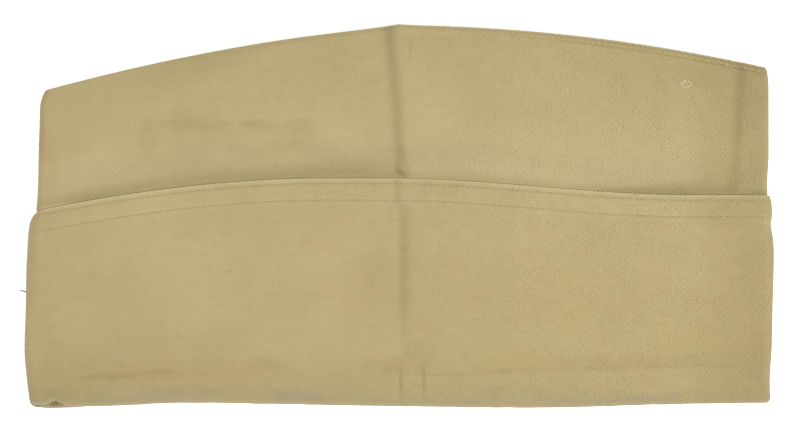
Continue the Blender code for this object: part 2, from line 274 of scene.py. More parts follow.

# Stains, marks and painted shade in millimetres on the cap seen from above, each an oval with a soft edge.
# The marks in the shadow tint and the rows noted as such are painted shade. The edge is the share of the
# oval that fades out, and the turn is in degrees.
Spot = namedtuple("Spot", "x y half_width half_height turn edge strength tint")
CURTAIN_SPOTS = [Spot(*row) for row in (
    (-90, -56.5, 60, 6.6, 1, 0.8, 0.52, "rust"),
    (-93, -58.2, 33, 2.2, 2, 0.8, 0.6, "rust"),
    (-104.5, -59.3, 15, 2.6, 0.5, 0.85, 0.8, "rust"),
    (-107.5, -59.3, 16, 1.5, 0.5, 0.8, 1, "rust"),
    (-104, -59.4, 12, 0.8, 1, 0.8, 0.52, "grime_and_shade"),
    (-119.5, -59.9, 13, 2.2, 0, 0.85, 0.36, "rust"),
    (-86, -58.4, 18, 3.2, 0, 0.8, 0.46, "rust"),
    (-86.5, -57.2, 14, 0.9, 2, 0.8, 0.44, "rust"),
    (-63, -58.7, 18, 3.2, 0, 0.8, 0.4, "rust"),
    (-113, -58.8, 20, 5, 0, 0.8, 0.8, "amber"),
    (-38.8, -58.7, 20, 3.2, 0, 0.85, 0.26, "grime_and_shade"),
    (-13.7, -58.4, 18, 5, 0, 0.85, 0.34, "grime_and_shade"),
    (8, -57.2, 13, 3.4, 0, 0.85, 0.34, "grime_and_shade"),
    (15.6, -58.3, 19, 1.2, 0, 0.8, 0.46, "grime_and_shade"),
    (42.6, -57, 20, 2, 1, 0.85, 0.5, "rust"),
    (70.2, -56.2, 22, 1.2, 0.6, 0.8, 0.5, "rust"),
    (70.2, -53.9, 18, 0.9, 0, 0.8, 0.3, "rust"),
    (96, -55.6, 22, 1.1, 0.4, 0.8, 0.56, "rust"),
    (120.7, -55.4, 18, 1, 0.3, 0.8, 0.72, "rust"),
    (119, -51.8, 20, 0.9, 0.2, 0.8, 0.44, "rust"),
    (-75, -46, 42, 11, 0, 0.9, 0.2, "grime_and_shade"),
    (-8, -24, 15, 20, 0, 0.9, 0.32, "amber"),
    (66, -34, 15, 22, 0, 0.9, 0.28, "amber"),
    (121, -48, 20, 12, 0, 0.7, 0.66, "amber"),
    (50, -53, 46, 5.5, 0, 0.7, 0.56, "amber"),
    (-38.8, -66.5, 19, 5, 0, 0.8, 0.34, "dust_and_shade"),
    (95, -67.5, 30, 4.5, 0, 0.8, 0.24, "dust_and_shade"),
    # Painted shade in the pucker at the back of the rim and in the gap between the rim's two layers.
    (-129, -70.5, 3.2, 1.5, 0, 0.5, 0.26, "shadow"),
    (-130, -70.6, 1, 0.42, -65, 0.6, 0.5, "shadow"),
    (-131.2, -70.8, 1, 0.42, 62, 0.6, 0.46, "shadow"),
    (-128.9, -70.1, 1.2, 0.42, -58, 0.6, 0.52, "shadow"),
    (-127.3, -70.2, 1.6, 0.5, -28, 0.6, 0.4, "shadow"),
    (-124.4, -70.9, 2.4, 0.6, 0, 0.8, 0.24, "shadow"),
    (-133, -71, 2, 0.6, 0, 0.8, 0.2, "shadow"),
    (-84.5, -58.6, 44, 5.2, 0, 0.6, 0.46, "blush"),
    (-86, -53, 10, 3.6, 0, 0.6, 0.4, "blush"),
    (-57, -55.5, 8, 7, 0, 0.6, 0.4, "blush"),
    (-66, -60, 9, 6, 0, 0.6, 0.4, "blush"),
    (-77, -63.5, 46, 6, 0, 0.8, 0.34, "grime_and_shade"),
    (-77, -63.5, 46, 5.5, 0, 0.8, 0.2, "dust_and_shade"),
    (-52, -55.6, 15, 5, 0, 0.9, 0.56, "rust"),
    (-46, -60, 9, 3, 0, 0.9, 0.3, "rust"),
    (78, -54, 74, 4.6, 0.5, 0.8, 0.46, "rust"),
    (-5, -55.5, 13, 4, 0, 0.8, 0.44, "rust"),
    (32, -33, 62, 34, 0, 0.95, 0.4, "amber"),
    (95, -51, 48, 15, 0, 0.9, 0.4, "amber"),
    (118, -14, 26, 26, 0, 0.9, 0.26, "amber"),
    (108, -44, 32, 8, 0, 0.9, 0.4, "amber"),
    (-88, -57.4, 60, 6.4, 0, 0.9, 0.3, "amber"),
    (0, -68, 155, 11, 0, 0.65, 0.28, "grime_and_shade"),
    (0, -71, 155, 10, 0, 0.6, 0.18, "dust_and_shade"),
    (-98, -71, 50, 6.5, 0, 0.6, 0.3, "dust_and_shade"),
    (0, -54.5, 22, 6, 0, 0.9, 0.34, "grime_and_shade"),
    (-120, -65.5, 24, 7, 0, 0.9, 0.42, "grime_and_shade"),
    (-139, -66, 12, 9, 0, 0.8, 0.34, "grime_and_shade"),
    (-110, -38, 34, 34, 0, 0.95, 0.16, "grime_and_shade"),
    (-48, -30, 26, 26, 0, 0.95, 0.16, "grime_and_shade"),
    (8, -50, 11, 18, 0, 0.9, 0.36, "grime_and_shade"),
    (38, -34, 44, 20, 0, 0.95, 0.22, "grime_and_shade"),
    (92, -33, 62, 24, -6, 0.95, 0.36, "rust"),
    (47, -19, 18, 11, 0, 0.9, 0.18, "rust"),
    (-10, -19, 11, 9, 10, 0.9, 0.24, "rust"),
    (-33, -9, 6, 6, 0, 0.9, 0.24, "rust"),
    (120, 0.5, 13, 9, 0, 0.9, 0.34, "rust"),
    (100, -13, 20, 7, -12, 0.9, 0.26, "grime_and_shade"),
    # Painted shade along two short creases low on the curtain.
    (0.6, -62, 1.3, 9, 0, 0.8, 0.9, "grime_and_shade"),
    (9.2, -60, 1.3, 9, 1, 0.8, 0.74, "grime_and_shade"),
    (135, -50, 9, 18, 0, 0.9, 0.34, "rust"),
    (132, -44, 12, 30, 0, 0.9, 0.5, "blush"),
    (126, -18, 15, 46, 0, 0.9, 0.46, "blush"),
    (126, -48, 20, 10, 0, 0.8, 0.44, "blush"),
    (1.7, -11, 2.4, 18, 0, 0.8, 0.28, "blush"),
    (123, -55.4, 17, 2.6, 0, 0.8, 0.62, "blush"),
    (94, -55.8, 22, 2.4, 0, 0.8, 0.26, "blush"),
    (-102, -58.8, 22, 2.2, 0, 0.8, 0.22, "blush"),
    (-101, -58.9, 21, 1.8, 0, 0.8, 0.18, "rust"),
    (10, -54, 10, 3.6, 0, 0.9, 0.4, "blush"),
    (83, -60, 5, 3, 0, 0.9, 0.36, "blush"),
    (60, -25, 32, 9, 0, 0.8, 0.28, "blush"),
    (-130.5, -66, 7.5, 3.6, 0, 0.9, 0.34, "grime_and_shade"),
    (-46, -66.5, 16, 3.2, 0, 0.9, 0.26, "grime_and_shade"),
    (130.8, -28.3, 4, 6, 30, 0.9, 0.34, "grime_and_shade"),
    (132, 7.4, 0.7, 1.4, 15, 0.7, 0.55, "grime_and_shade"),
    (-136.5, -24, 4, 28, 0, 0.9, 0.3, "rust"),
    (130, -17, 12, 15, 0, 0.9, 0.22, "grime_and_shade"),
    (-63.2, -20.1, 0.9, 0.8, 0, 0.8, 0.6, "grime_and_shade"),
    (-26.5, 8.9, 0.9, 0.8, 0, 0.8, 0.5, "grime_and_shade"),
    (-10.2, -25.6, 1.4, 0.5, 35, 0.7, 0.6, "grime_and_shade"),
    (-88.4, -40.7, 0.8, 0.8, 0, 0.8, 0.3, "grime_and_shade"),
)]
CROWN_SPOTS = [Spot(*row) for row in (
    (-131, 20, 6, 15, 0, 0.9, 0.44, "rust"),
    (-133.6, 27, 2.2, 14, 0, 0.8, 0.8, "blush"),
    (-133.8, 27, 1.6, 14, 0, 0.8, 0.5, "rust"),
    (107.5, 50.1, 0.6, 0.5, 0, 0.7, 0.75, "grime_and_shade"),
    (107.4, 50.2, 2.4, 1.9, 0, 0.6, 0.45, "pale"),
    (104, 50.6, 1.2, 0.8, -20, 0.8, 0.45, "grime_and_shade"),
    (111.4, 49.8, 1.4, 0.9, -10, 0.8, 0.45, "grime_and_shade"),
    (-107.6, 18.4, 0.5, 1.1, 12, 0.7, 0.6, "pale"),
    (-106.3, 17, 0.4, 0.9, -8, 0.7, 0.55, "pale"),
    # Painted shade where the crease runs down under the curtain's edge.
    (1.2, 16.2, 5.2, 3.6, 0, 0.9, 0.9, "grime_and_shade"),
    (1.4, 22, 3, 8, 0, 0.9, 0.6, "grime_and_shade"),
    (0.9, 16.9, 4.6, 1.7, -47, 0.9, 0.26, "shadow"),
    (-1.9, 48, 2.4, 22, 6.3, 0.8, 0.4, "blush"),
    (127.8, 43, 3.4, 17, 3, 0.8, 0.7, "blush"),
    (126, 21, 2.4, 9, 0, 0.8, 0.26, "blush"),
    (0.6, 18.5, 5, 3, -47, 0.8, 0.24, "blush"),
    (-130.5, 18, 5, 9, 0, 0.9, 0.34, "blush"),
    (-130.4, 23.5, 5.5, 4.5, 0, 0.9, 0.38, "grime_and_shade"),
    (-18, 27, 8, 6.5, 0, 0.9, 0.18, "pale"),
    (-68, 23.5, 10, 4.5, 0, 0.9, 0.16, "pale"),
    (-92, 41, 10, 4.5, 0, 0.9, 0.16, "pale"),
    (128, 20, 6.5, 5.5, 0, 0.9, 0.22, "pale"),
    # Painted shade in a faint wrinkle beside the crease near the top.
    (4.2, 63.5, 1.1, 6.5, -3, 0.9, 0.4, "grime_and_shade"),
    (-123, 25, 6, 9, 0, 0.9, 0.24, "rust"),
    (-110, 46, 14, 18, 10, 0.95, 0.12, "grime_and_shade"),
    (-76, 58, 38, 10, 13, 0.9, 0.4, "grime_and_shade"),
    (-62.5, 30, 34, 8.5, 0, 0.35, 0.2, "grime_and_shade"),
    (-78, 34.8, 17, 4.4, 0, 0.9, 0.26, "grime_and_shade"),
    (-60, 34.6, 17, 3.8, 0, 0.9, 0.18, "grime_and_shade"),
    (-44, 34.8, 15, 4.4, 0, 0.9, 0.24, "grime_and_shade"),
    (-82, 35, 10, 3, 0, 0.9, 0.24, "rust"),
    (-35.5, 30.5, 6, 8.5, 0, 0.45, 0.24, "grime_and_shade"),
    (-71.5, 35.6, 6, 2.4, 0, 0.9, 0.26, "rust"),
    (-94, 28.5, 5, 11, 0, 0.6, 0.3, "grime_and_shade"),
    (-54.6, 34.7, 8, 3, -3, 0.9, 0.34, "rust"),
    (-40, 34.6, 4, 2, 0, 0.9, 0.56, "blush"),
    (-79.4, 37.3, 0.6, 0.6, 0, 0.6, 0.55, "grime_and_shade"),
    (112, 54, 15, 7.5, -18, 0.9, 0.36, "grime_and_shade"),
    (98, 50, 5, 4, -30, 0.9, 0.26, "grime_and_shade"),
    (133, 34, 4, 2.6, -20, 0.9, 0.4, "grime_and_shade"),
    (132, 30, 7, 30, 0, 0.8, 0.4, "amber"),
    (123, 24, 8, 26, 0, 0.95, 0.36, "amber"),
)]


def length(name, description, default):
    return bpy.props.FloatProperty(name=name, description=description, default=default, unit="LENGTH")


def tint(name, description, default):
    return bpy.props.FloatVectorProperty(
        name=name, description=description, default=default, size=3, subtype="COLOR", min=0, max=1)


class CapSizes(bpy.types.PropertyGroup):
    """Sizes of the cap's cloth, hems and stitches."""
    hem_row: length("Hem stitching", "Distance of the lower row of stitches from the curtain's edge", 0.00825)
    edge_row: length("Edge stitching", "Distance of the upper row of stitches from the curtain's edge", 0.0021)
    top_row: length("Welt stitching", "Distance of the stitches from the crown's top edge", 0.0019)
    stitch_pitch: length("Stitch pitch", "Distance from one stitch to the next", 0.0023)
    stitch_length: length("Stitch length", "Length of the thread that shows between two holes", 0.00165)
    thread: length("Thread", "Diameter of the sewing thread", 0.00032)
    hem_rise: length("Hem rise", "How far the turned-in hems raise the cloth over them", 0.00016)
    groove: length("Stitch groove", "How deep a row of stitches pulls the cloth in", 0.00013)
    crease: length("Pressed crease", "Height of the crease across the middle of the cap", 0.00105)
    swell: length("Swell", "Depth of the soft waves in the upper side", 0.00030)
    twill_pitch: length("Twill pitch", "Distance from one twill line to the next, across the lines", 0.00078)
    twill_slope: bpy.props.FloatProperty(
        name="Twill slope", description="How steeply the twill lines fall towards the front",
        default=math.radians(27), subtype="ANGLE")


class CapColours(bpy.types.PropertyGroup):
    """Colours of the cap's cloth, threads and stains, and of the shade and light painted on the cloth."""
    khaki: tint("Khaki", "The faded cloth", (0.376, 0.306, 0.152))
    faded: tint("Faded khaki", "The palest threads of the cloth", (0.410, 0.333, 0.167))
    rust: tint("Rust stain", "The warm stains", (0.318, 0.232, 0.100))
    # Besides real soiling, this grey colours the painted shade over the curtain's edge, in the creases and in
    # the stitch grooves.
    grime_and_shade: tint("Grime", "The grey soiling in folds and specks", (0.279, 0.224, 0.104))
    # This grey also colours the painted shade where the cloth turns away from above.
    dust_and_shade: tint("Dust", "The greyer soiling along the rim", (0.252, 0.229, 0.186))
    amber: tint("Amber", "The yellowed cloth towards the front", (0.392, 0.300, 0.128))
    blush: tint("Blush", "The pinkish patches of the stained cloth", (0.405, 0.290, 0.135))
    # This colour is also the painted light mixed in where the cloth is lightened.
    pale: tint("Bare threads", "The pale threads round the pin holes", (0.540, 0.450, 0.260))
    # The painted shade deep in the pucker, at the crease's foot and where the soiling runs past 1.
    shadow: tint("Deep folds", "The cloth deep in a pucker or a fold", (0.030, 0.024, 0.008))
    lint: tint("Lint", "The loose dark thread at the back", (0.150, 0.140, 0.125))
    thread: tint("Thread", "The sewing thread", (0.400, 0.315, 0.155))
    welt_thread: tint("Welt thread", "The warmer thread along the crown's welt", (0.500, 0.362, 0.155))


class StageSettings(bpy.types.PropertyGroup):
    """The floor, the light and the camera's height."""
    floor: tint("Floor", "The pale floor", (0.93, 0.93, 0.93))
    glow: bpy.props.FloatProperty(
        name="Glow", description="Strength of the light that comes through the pale floor", default=0.48, min=0)
    surround: bpy.props.FloatProperty(
        name="Surround", description="Strength of the even light from all round", default=0.762, min=0)
    key: bpy.props.FloatProperty(
        name="Key light", description="Power of the soft light at the front of the cap", default=125.0, min=0,
        subtype="POWER")
    lens: bpy.props.FloatProperty(
        name="Lens", description="Focal length of the camera", default=100.0, min=20, subtype="DISTANCE_CAMERA")


def eased(share):
    """0 to 1 with a level start and end."""
    share = np.clip(share, 0.0, 1.0)
    return share * share * (3 - 2 * share)


def read_table(table, column, at):
    """A column of a table at any places along its first column, on a smooth curve through its rows."""
    places = np.array([row[0] for row in table])
    values = np.array([getattr(row, column) for row in table])
    at = np.clip(at, places[0], places[-1])
    low = np.maximum(np.arange(len(places)) - 1, 0)
    high = np.minimum(np.arange(len(places)) + 1, len(places) - 1)
    slopes = (values[high] - values[low]) / (places[high] - places[low])
    k = np.clip(np.searchsorted(places, at, side="right") - 1, 0, len(places) - 2)
    step = places[k + 1] - places[k]
    t = (at - places[k]) / step
    level_ended = values[k] + (values[k + 1] - values[k]) * eased(t)
    return level_ended + step * t * (1 - t) * (slopes[k] * (1 - t) - slopes[k + 1] * t)


def bell(offset, width):
    """A soft bump of height 1 at offset 0."""
    return np.exp(-(offset / width) ** 2)


def soft_waves(x, y, lengths, seed):
    """Smooth irregular waves from about -1 to 1, with wavelengths between the two given."""
    draw = np.random.default_rng(seed)
    total = 0.0
    count = 9
    for _ in range(count):
        wavelength = draw.uniform(*lengths)
        heading = draw.uniform(0, math.pi)
        phase = draw.uniform(0, 2 * math.pi)
        run = x * math.cos(heading) + y * math.sin(heading)
        total = total + np.sin(2 * math.pi * run / wavelength + phase)
    return total / math.sqrt(2 * count)


def sizes():
    return bpy.context.scene.cap_sizes


def colours():
    return bpy.context.scene.cap_colours


def crown_top(x):
    """Height of the crown's top edge: an arch on each side of the peak, kinked where they meet."""
    back = x < 0
    share = np.clip(np.where(back, x / CROWN_BACK, x / CROWN_FRONT), 0, 1)
    end_height = np.where(back, CROWN_BACK_HEIGHT, CROWN_FRONT_HEIGHT)
    rise = np.where(back, BACK_ARCH_RISE, FRONT_ARCH_RISE)
    arch = CROWN_PEAK_HEIGHT + (end_height - CROWN_PEAK_HEIGHT) * share + 4 * rise * share * (1 - share)
    return arch + EDGE_FUZZ + PEAK_CUSP * np.exp(-np.abs(x) / 0.004) - BACK_DIP * bell(x + 0.020, 0.016)


def curtain_top(x):
    """Height of the curtain's upper edge: a crest that curves down to the back and sweeps to the front."""
    along = x / CURTAIN_FRONT
    back_share = np.clip((CREST_BACK_SHARE - along) / (1 + CREST_BACK_SHARE), 0, 1)
    back = CURTAIN_PEAK_HEIGHT - (CURTAIN_PEAK_HEIGHT - CURTAIN_BACK_HEIGHT) * back_share ** CREST_POWER
    sweep = eased((along - CREST_FRONT_SHARE) / (CREST_FOOT_SHARE - CREST_FRONT_SHARE))
    front = CURTAIN_PEAK_HEIGHT - (CURTAIN_PEAK_HEIGHT - CURTAIN_FRONT_HEIGHT) * sweep
    return np.where(along < CREST_BACK_SHARE, back, front)


def rim(x, height, side):
    """How far the waves of the rim move the cloth along Y, which fades out up the cap."""
    wave = -RIM_WAVE * read_table(RIM_WAVES, "right" if side == UPPER else "left", x / CURTAIN_FRONT)
    pucker = PUCKER_RISE * bell(x - PUCKER_X, 0.0026) * (1 - eased(height / 0.0085)) * (side == UPPER)
    nibbled = 0.00010 * soft_waves(x, 0 * x, (0.004, 0.012), seed=61 + side) * (1 - eased(height / 0.0060))
    return wave * (1 - eased(height / WAVE_REACH)) + pucker + nibbled


def crease_rise(x, height):
    """The pressed crease: a ridge on the bare crown, and a valley in the curtain and the crown under it."""
    bare = eased((height - curtain_top(x)) / 0.005)
    past_ridge = x - read_table(CREASES, "place", height)
    ridge_flank = np.exp(-np.abs(past_ridge) / 0.0090)
    ridge = np.where(past_ridge < 0, eased(1 + past_ridge / CREASE_FLANK), ridge_flank)
    past_valley = x - VALLEY_X
    valley_flank = np.exp(-np.abs(past_valley) / 0.0075)
    valley = -np.where(past_valley < 0, valley_flank, eased(1 - past_valley / 0.0042))
    strength = 0.30 + 0.70 * eased((height - 0.022) / 0.020)
    return sizes().crease * (valley * strength * (1 - bare) + ridge * bare)


def swell(x, height):
    """Soft waves that the upper side's layers share, which die away at the folded ends and the top edge."""
    reach = np.abs(x) / HALF_LENGTH
    calm = (1 - np.clip(reach, 0, 1) ** 6) * eased((crown_top(x) - height) / 0.012)
    return sizes().swell * calm * soft_waves(x, height, (0.035, 0.110), seed=4)


def thickness(x, height):
    """The crown's thickness from its lower outer face to its upper outer face."""
    reach = np.minimum(np.abs(x) / HALF_LENGTH, 1.0)
    belly = (1 - reach ** SPREAD_POWER) ** 2
    fill = read_table(FILLS, "fill", height / CROWN_PEAK_HEIGHT)
    pressed = (crease_rise(x, height) + swell(x, height)) * (1 - reach ** 12)
    return END_THICKNESS + SPREAD * fill * belly + pressed


def floor_lift(x, height):
    """Height of the crown's lower outer face above the floor."""
    past_edge = height - curtain_top(x) - EDGE_MARGIN
    return FLOOR_LIFT * (1 - eased(past_edge / FALL_LENGTH))


def curtain_ends(x, height, inset):
    """X of the curtain's back and front folded ends, moved inwards by inset."""
    up = height / curtain_top(x)
    back = CURTAIN_BACK + inset + END_BOW * read_table(END_BOWS, "back", up)
    front = CURTAIN_FRONT - inset - END_BOW * read_table(END_BOWS, "front", up)
    return back, front


def crown_ends(x, height, inset):
    """X of the crown's back and front folded ends, moved inwards by inset."""
    held = 1 - eased((height - curtain_top(x) - EDGE_MARGIN) / FALL_LENGTH)
    limits = curtain_ends(x, height, CURTAIN_CLOTH + LAYER_GAP)
    into_corner = np.maximum(1 - (crown_top(x) - height) / CORNER_DEPTH, 0) ** 3
    ends = []
    for end, limit, corner, inwards in (
        (CROWN_BACK, limits[0], BACK_CORNER, 1),
        (CROWN_FRONT, limits[1], FRONT_CORNER, -1),
    ):
        held_in = held * np.maximum(inwards * (limit - end), 0)
        leaning = END_LEAN * eased((height - 0.090) / 0.020) * (inwards > 0)
        ends.append(end + inwards * (inset + held_in + corner * into_corner + leaning))
    return ends


def column_layout(spacing, turns):
    """Share along the side and turn round a folded end, in radians, for each column of a wall's mesh."""
    count = 2 * round(HALF_LENGTH / spacing)
    shares = np.linspace(-1, 1, count + 1)
    angles = np.linspace(0, math.pi / 2, turns + 1)[1:]
    share = np.concatenate([-np.ones(turns), shares, np.ones(turns)])
    turn = np.concatenate([-angles[::-1], np.zeros(count + 1), angles])
    return share, turn


def spread_columns(share, limit):
    """X of the columns of a wall: evenly spaced, then fitted to the place where the cloth starts to turn."""
    straight = np.clip(share, -STRAIGHT_SHARE, STRAIGHT_SHARE) * HALF_LENGTH
    rest = (np.abs(share) - STRAIGHT_SHARE).clip(0) / (1 - STRAIGHT_SHARE)
    return straight + rest * (limit - np.sign(share) * STRAIGHT_SHARE * HALF_LENGTH)


def nominal_x(share):
    """X of the columns before the folded ends bend them."""
    return spread_columns(share, np.where(share < 0, CROWN_BACK, CROWN_FRONT))


def settled_top(wall, side, share, turn, top_of, drop):
    """Height of a wall's upper edge at each column, read where the column ends up."""
    x = nominal_x(share)
    for _ in range(3):
        top = top_of(x) - drop
        x = wall(side, share, turn, top)[0]
    return top_of(x) - drop


def on_wall(side, share, turn, ends, middle, half):
    """Points of a wall's mid-surface: X and Z, and how far each lies along the cloth from the middle."""
    back, front = ends
    x = spread_columns(share, np.where(share < 0, back + half(back), front - half(front)))
    radius = half(x)
    z = middle(x) + side * (SEAM_GAP / 2 + (radius - SEAM_GAP / 2) * np.cos(turn))
    return x + radius * np.sin(turn), z, x + radius * turn


def crown_wall(side, share, turn, height):
    x = nominal_x(share)
    return on_wall(
        side, share, turn, crown_ends(x, height, CROWN_CLOTH / 2),
        lambda at: floor_lift(at, height) + thickness(at, height) / 2,
        lambda at: (thickness(at, height) - CROWN_CLOTH) / 2,
    )


def curtain_wall(side, share, turn, height):
    x = nominal_x(share)

    def outside(at):
        lift = STAND_OFF * read_table(EDGE_LIFTS, "off", at / CURTAIN_FRONT)
        lift = lift * eased(1 - (curtain_top(at) - height) / 0.045)
        return FLOOR_LIFT + thickness(at, height) + LAYER_GAP + lift + CURTAIN_CLOTH

    return on_wall(
        side, share, turn, curtain_ends(x, height, CURTAIN_CLOTH / 2),
        lambda at: outside(at) / 2,
        lambda at: (outside(at) - CURTAIN_CLOTH) / 2,
    )


def hem_wall(side, share, turn, height):
    x = nominal_x(share)
    depth = CROWN_CLOTH + LAYER_GAP + CURTAIN_CLOTH / 2
    return on_wall(
        side, share, turn, crown_ends(x, height, depth),
        lambda at: FLOOR_LIFT + thickness(at, height) / 2,
        lambda at: thickness(at, height) / 2 - depth,
    )


def end_drop(share, turn, inner):
    """How far an edge sinks where its cloth turns round a folded end."""
    drop = np.where(share < 0, BACK_DROP, FRONT_DROP)
    return inner * drop * (1 - np.cos(turn))


def edge_rows(fine, fine_step, reach, coarse_step):
    """Distances from an edge for the rows of a mesh: fine at the edge, then coarser up to the reach."""
    near = np.arange(0, fine, fine_step)
    count = max(round((reach - fine) / coarse_step), 1)
    return np.concatenate([near, np.linspace(fine, reach, count + 1)])


def curtain_relief(x, from_edge, side):
    """How far the curtain's cloth stands out: its hem, the stitched grooves and the puckers along them."""
    s = sizes()
    hem = s.hem_rise * (1 - eased((from_edge - s.hem_row) / 0.0016))
    grooves = 0.35 * bell(from_edge - s.edge_row, 0.00050) + bell(from_edge - s.hem_row, 0.00065)
    puckers = soft_waves(x, from_edge * 0.35, (0.0045, 0.0120), seed=11 + side)
    near_rows = bell(from_edge - s.edge_row, 0.0022) + bell(from_edge - s.hem_row, 0.0026)
    ripples = soft_waves(x, from_edge, (0.012, 0.034), seed=21 + side)
    pressed = EDGE_PRESS * (1 - eased(from_edge / 0.020))
    bead = 0.00008 * bell(from_edge - 0.0006, 0.0006)
    return hem - pressed + bead - s.groove * grooves + 0.00005 * puckers * near_rows + 0.00004 * ripples


def crispness(x, start, least):
    """How sharply the weave shows, which grows from the worn back of the cap to its front."""
    return least + (1.45 - least) * eased((x - start) / 0.120)


def seam_line(from_edge):
    """X of the seam allowance's edge near the front fold, which shows through the crown."""
    return CROWN_FRONT - SEAM_SETBACK - SEAM_CURVE * from_edge ** 2


def crown_relief(x, from_edge, above_curtain, side):
    """How far the crown's bare cloth stands out: its welt, its front seam allowance and small ripples."""
    s = sizes()
    bare = eased(above_curtain / 0.004)
    front = eased((x + 0.004) / 0.010)
    raised = eased((from_edge - WELT_STRIP + 0.0002) / 0.0004)
    welt = 1.7 * s.hem_rise * (raised * (1 - eased((from_edge - s.top_row) / 0.0016)) - (1 - raised)) * front
    groove = s.groove * bell(from_edge - s.top_row, 0.00055) * front
    past_seam = x - seam_line(from_edge)
    allowance = 0.00042 * eased(past_seam / 0.0030) - 0.00012 * bell(past_seam, 0.0018)
    ripples = soft_waves(x, from_edge, (0.010, 0.032), seed=31 + side)
    puckers = soft_waves(x, from_edge * 0.3, (0.0050, 0.0130), seed=41 + side) * bell(from_edge, 0.0045)
    return bare * (welt - groove + allowance + 0.00004 * ripples + 0.00004 * puckers)


def edge_bulge(x, above, side):
    """How far the upper side of the crown swells towards the curtain's edge, which it lifts and rolls over."""
    lift = STAND_OFF * read_table(EDGE_LIFTS, "off", x / CURTAIN_FRONT)
    fall = np.exp(-np.maximum(above, 0) / BULGE_FALL)
    swelling = lift * np.where(above < 0, eased(1 + above / 0.045), fall)
    roll = EDGE_ROLL * eased((above + 0.0003) / 0.0011) * np.exp(-np.maximum(above - 0.0008, 0) / 0.0045)
    return (swelling + roll) * (side == UPPER)


def outward(points, side):
    """Unit normals of a grid of points, away from the inside of the cap."""
    along = np.gradient(points, axis=1)
    across = np.gradient(points, axis=0)
    normals = np.cross(along, across)
    normals /= np.linalg.norm(normals, axis=2, keepdims=True) + 1e-12
    middle = normals.shape[1] // 2
    sign = np.sign(normals[normals.shape[0] // 3, middle, 2]) * side
    return normals * sign


def turned_away_shade(points, side):
    """Painted shade where the cloth turns away from above, at the folded ends and round the rim."""
    return 0.50 * (1 - eased(np.abs(outward(points, side)[..., 2]) / 0.75))


def crown_grid(side):
    """Rows of points of a crown side from its lower edge to its top, with what the cloth needs at each."""
    share, turn = column_layout(COLUMN_STEP, END_COLUMNS)
    top = settled_top(crown_wall, side, share, turn, crown_top, end_drop(share, turn, 0.06))
    edge = curtain_top(nominal_x(share)) + EDGE_MARGIN
    covered = np.linspace(0, 1, COVERED_ROWS + 1)[:-1, None] * (edge - FOLD_CENTRE) + FOLD_CENTRE
    down = edge_rows(TOP_ROWS_DEPTH, TOP_ROW_STEP, 1.0, 1.0)[:-1]
    bare_share = np.linspace(0, 1, BARE_ROWS)[:, None]
    bare = edge + bare_share * (top - down[-1] - edge)
    crisp = top - down[:-1][::-1][:, None]
    height = np.concatenate([covered, bare, crisp])
    share, turn = np.broadcast_to(share, height.shape), np.broadcast_to(turn, height.shape)
    on_x, z, along = crown_wall(side, share, turn, height)
    points = np.stack([on_x, height + rim(on_x, height, side) + RIM_LINE_Y, z], axis=2)
    from_edge = top - height
    above = height - curtain_top(on_x)
    relief = (crown_relief(on_x, from_edge, above, side) + edge_bulge(on_x, above, side)) * np.cos(turn)
    if side == LOWER:
        relief = 0.3 * relief - 0.0003 * eased(above / 0.010)
    points = points + outward(points, side) * relief[..., None]
    return points, along, height, from_edge, above


def curtain_grid(side):
    """Rows of points of a curtain side: down its outside, round the rim's fold and up its hem."""
    share, turn = column_layout(COLUMN_STEP, END_COLUMNS)
    top = settled_top(curtain_wall, side, share, turn, curtain_top, end_drop(share, turn, 1.0))
    longest = np.max(top) - FOLD_CENTRE
    fine = HEM_ROWS_DEPTH
    down = edge_rows(fine, HEM_ROW_STEP, longest, CURTAIN_ROW_STEP)[:, None]
    down = np.where(down < fine, down, fine + (down - fine) * (top - FOLD_CENTRE - fine) / (longest - fine))
    height = top - down
    shares, turns = np.broadcast_to(share, height.shape), np.broadcast_to(turn, height.shape)
    on_x, z, along = curtain_wall(side, shares, turns, height)
    outer = np.stack([on_x, height + rim(on_x, height, side), z], axis=2)
    relief = curtain_relief(on_x, down + 0 * on_x, side) * np.cos(turns)
    if side == LOWER:
        relief = relief - 0.00040
    calm = eased((height - FOLD_CENTRE) / 0.004)
    outer = outer + outward(outer, side) * (relief * calm)[..., None]
    hem_height = np.linspace(FOLD_CENTRE, RIM_HEM, HEM_ROWS)[:, None] + 0 * share
    shares, turns = np.broadcast_to(share, hem_height.shape), np.broadcast_to(turn, hem_height.shape)
    hem_x, hem_z, hem_along = hem_wall(side, shares, turns, hem_height)
    hem = np.stack([hem_x, hem_height + rim(hem_x, hem_height, side), hem_z], axis=2)
    start, end = outer[-1], hem[0]
    angles = np.linspace(0, math.pi, FOLD_STEPS + 1)[1:-1, None, None]
    fold = (start + end) / 2 + (start - end) / 2 * np.cos(angles)
    fold = fold - np.array([0.0, FOLD_RADIUS, 0.0]) * np.sin(angles)
    points = np.concatenate([outer, fold, hem])
    points[..., 1] += RIM_LINE_Y
    fold_rows = np.linspace(0, math.pi * FOLD_RADIUS, FOLD_STEPS + 1)[1:-1, None]
    from_edge = np.concatenate([
        top - height,
        top - FOLD_CENTRE + fold_rows,
        top - FOLD_CENTRE + math.pi * FOLD_RADIUS + hem_height - FOLD_CENTRE,
    ])
    along = np.concatenate([along, np.broadcast_to(along[-1], fold.shape[:2]), hem_along])
    return points, along, from_edge


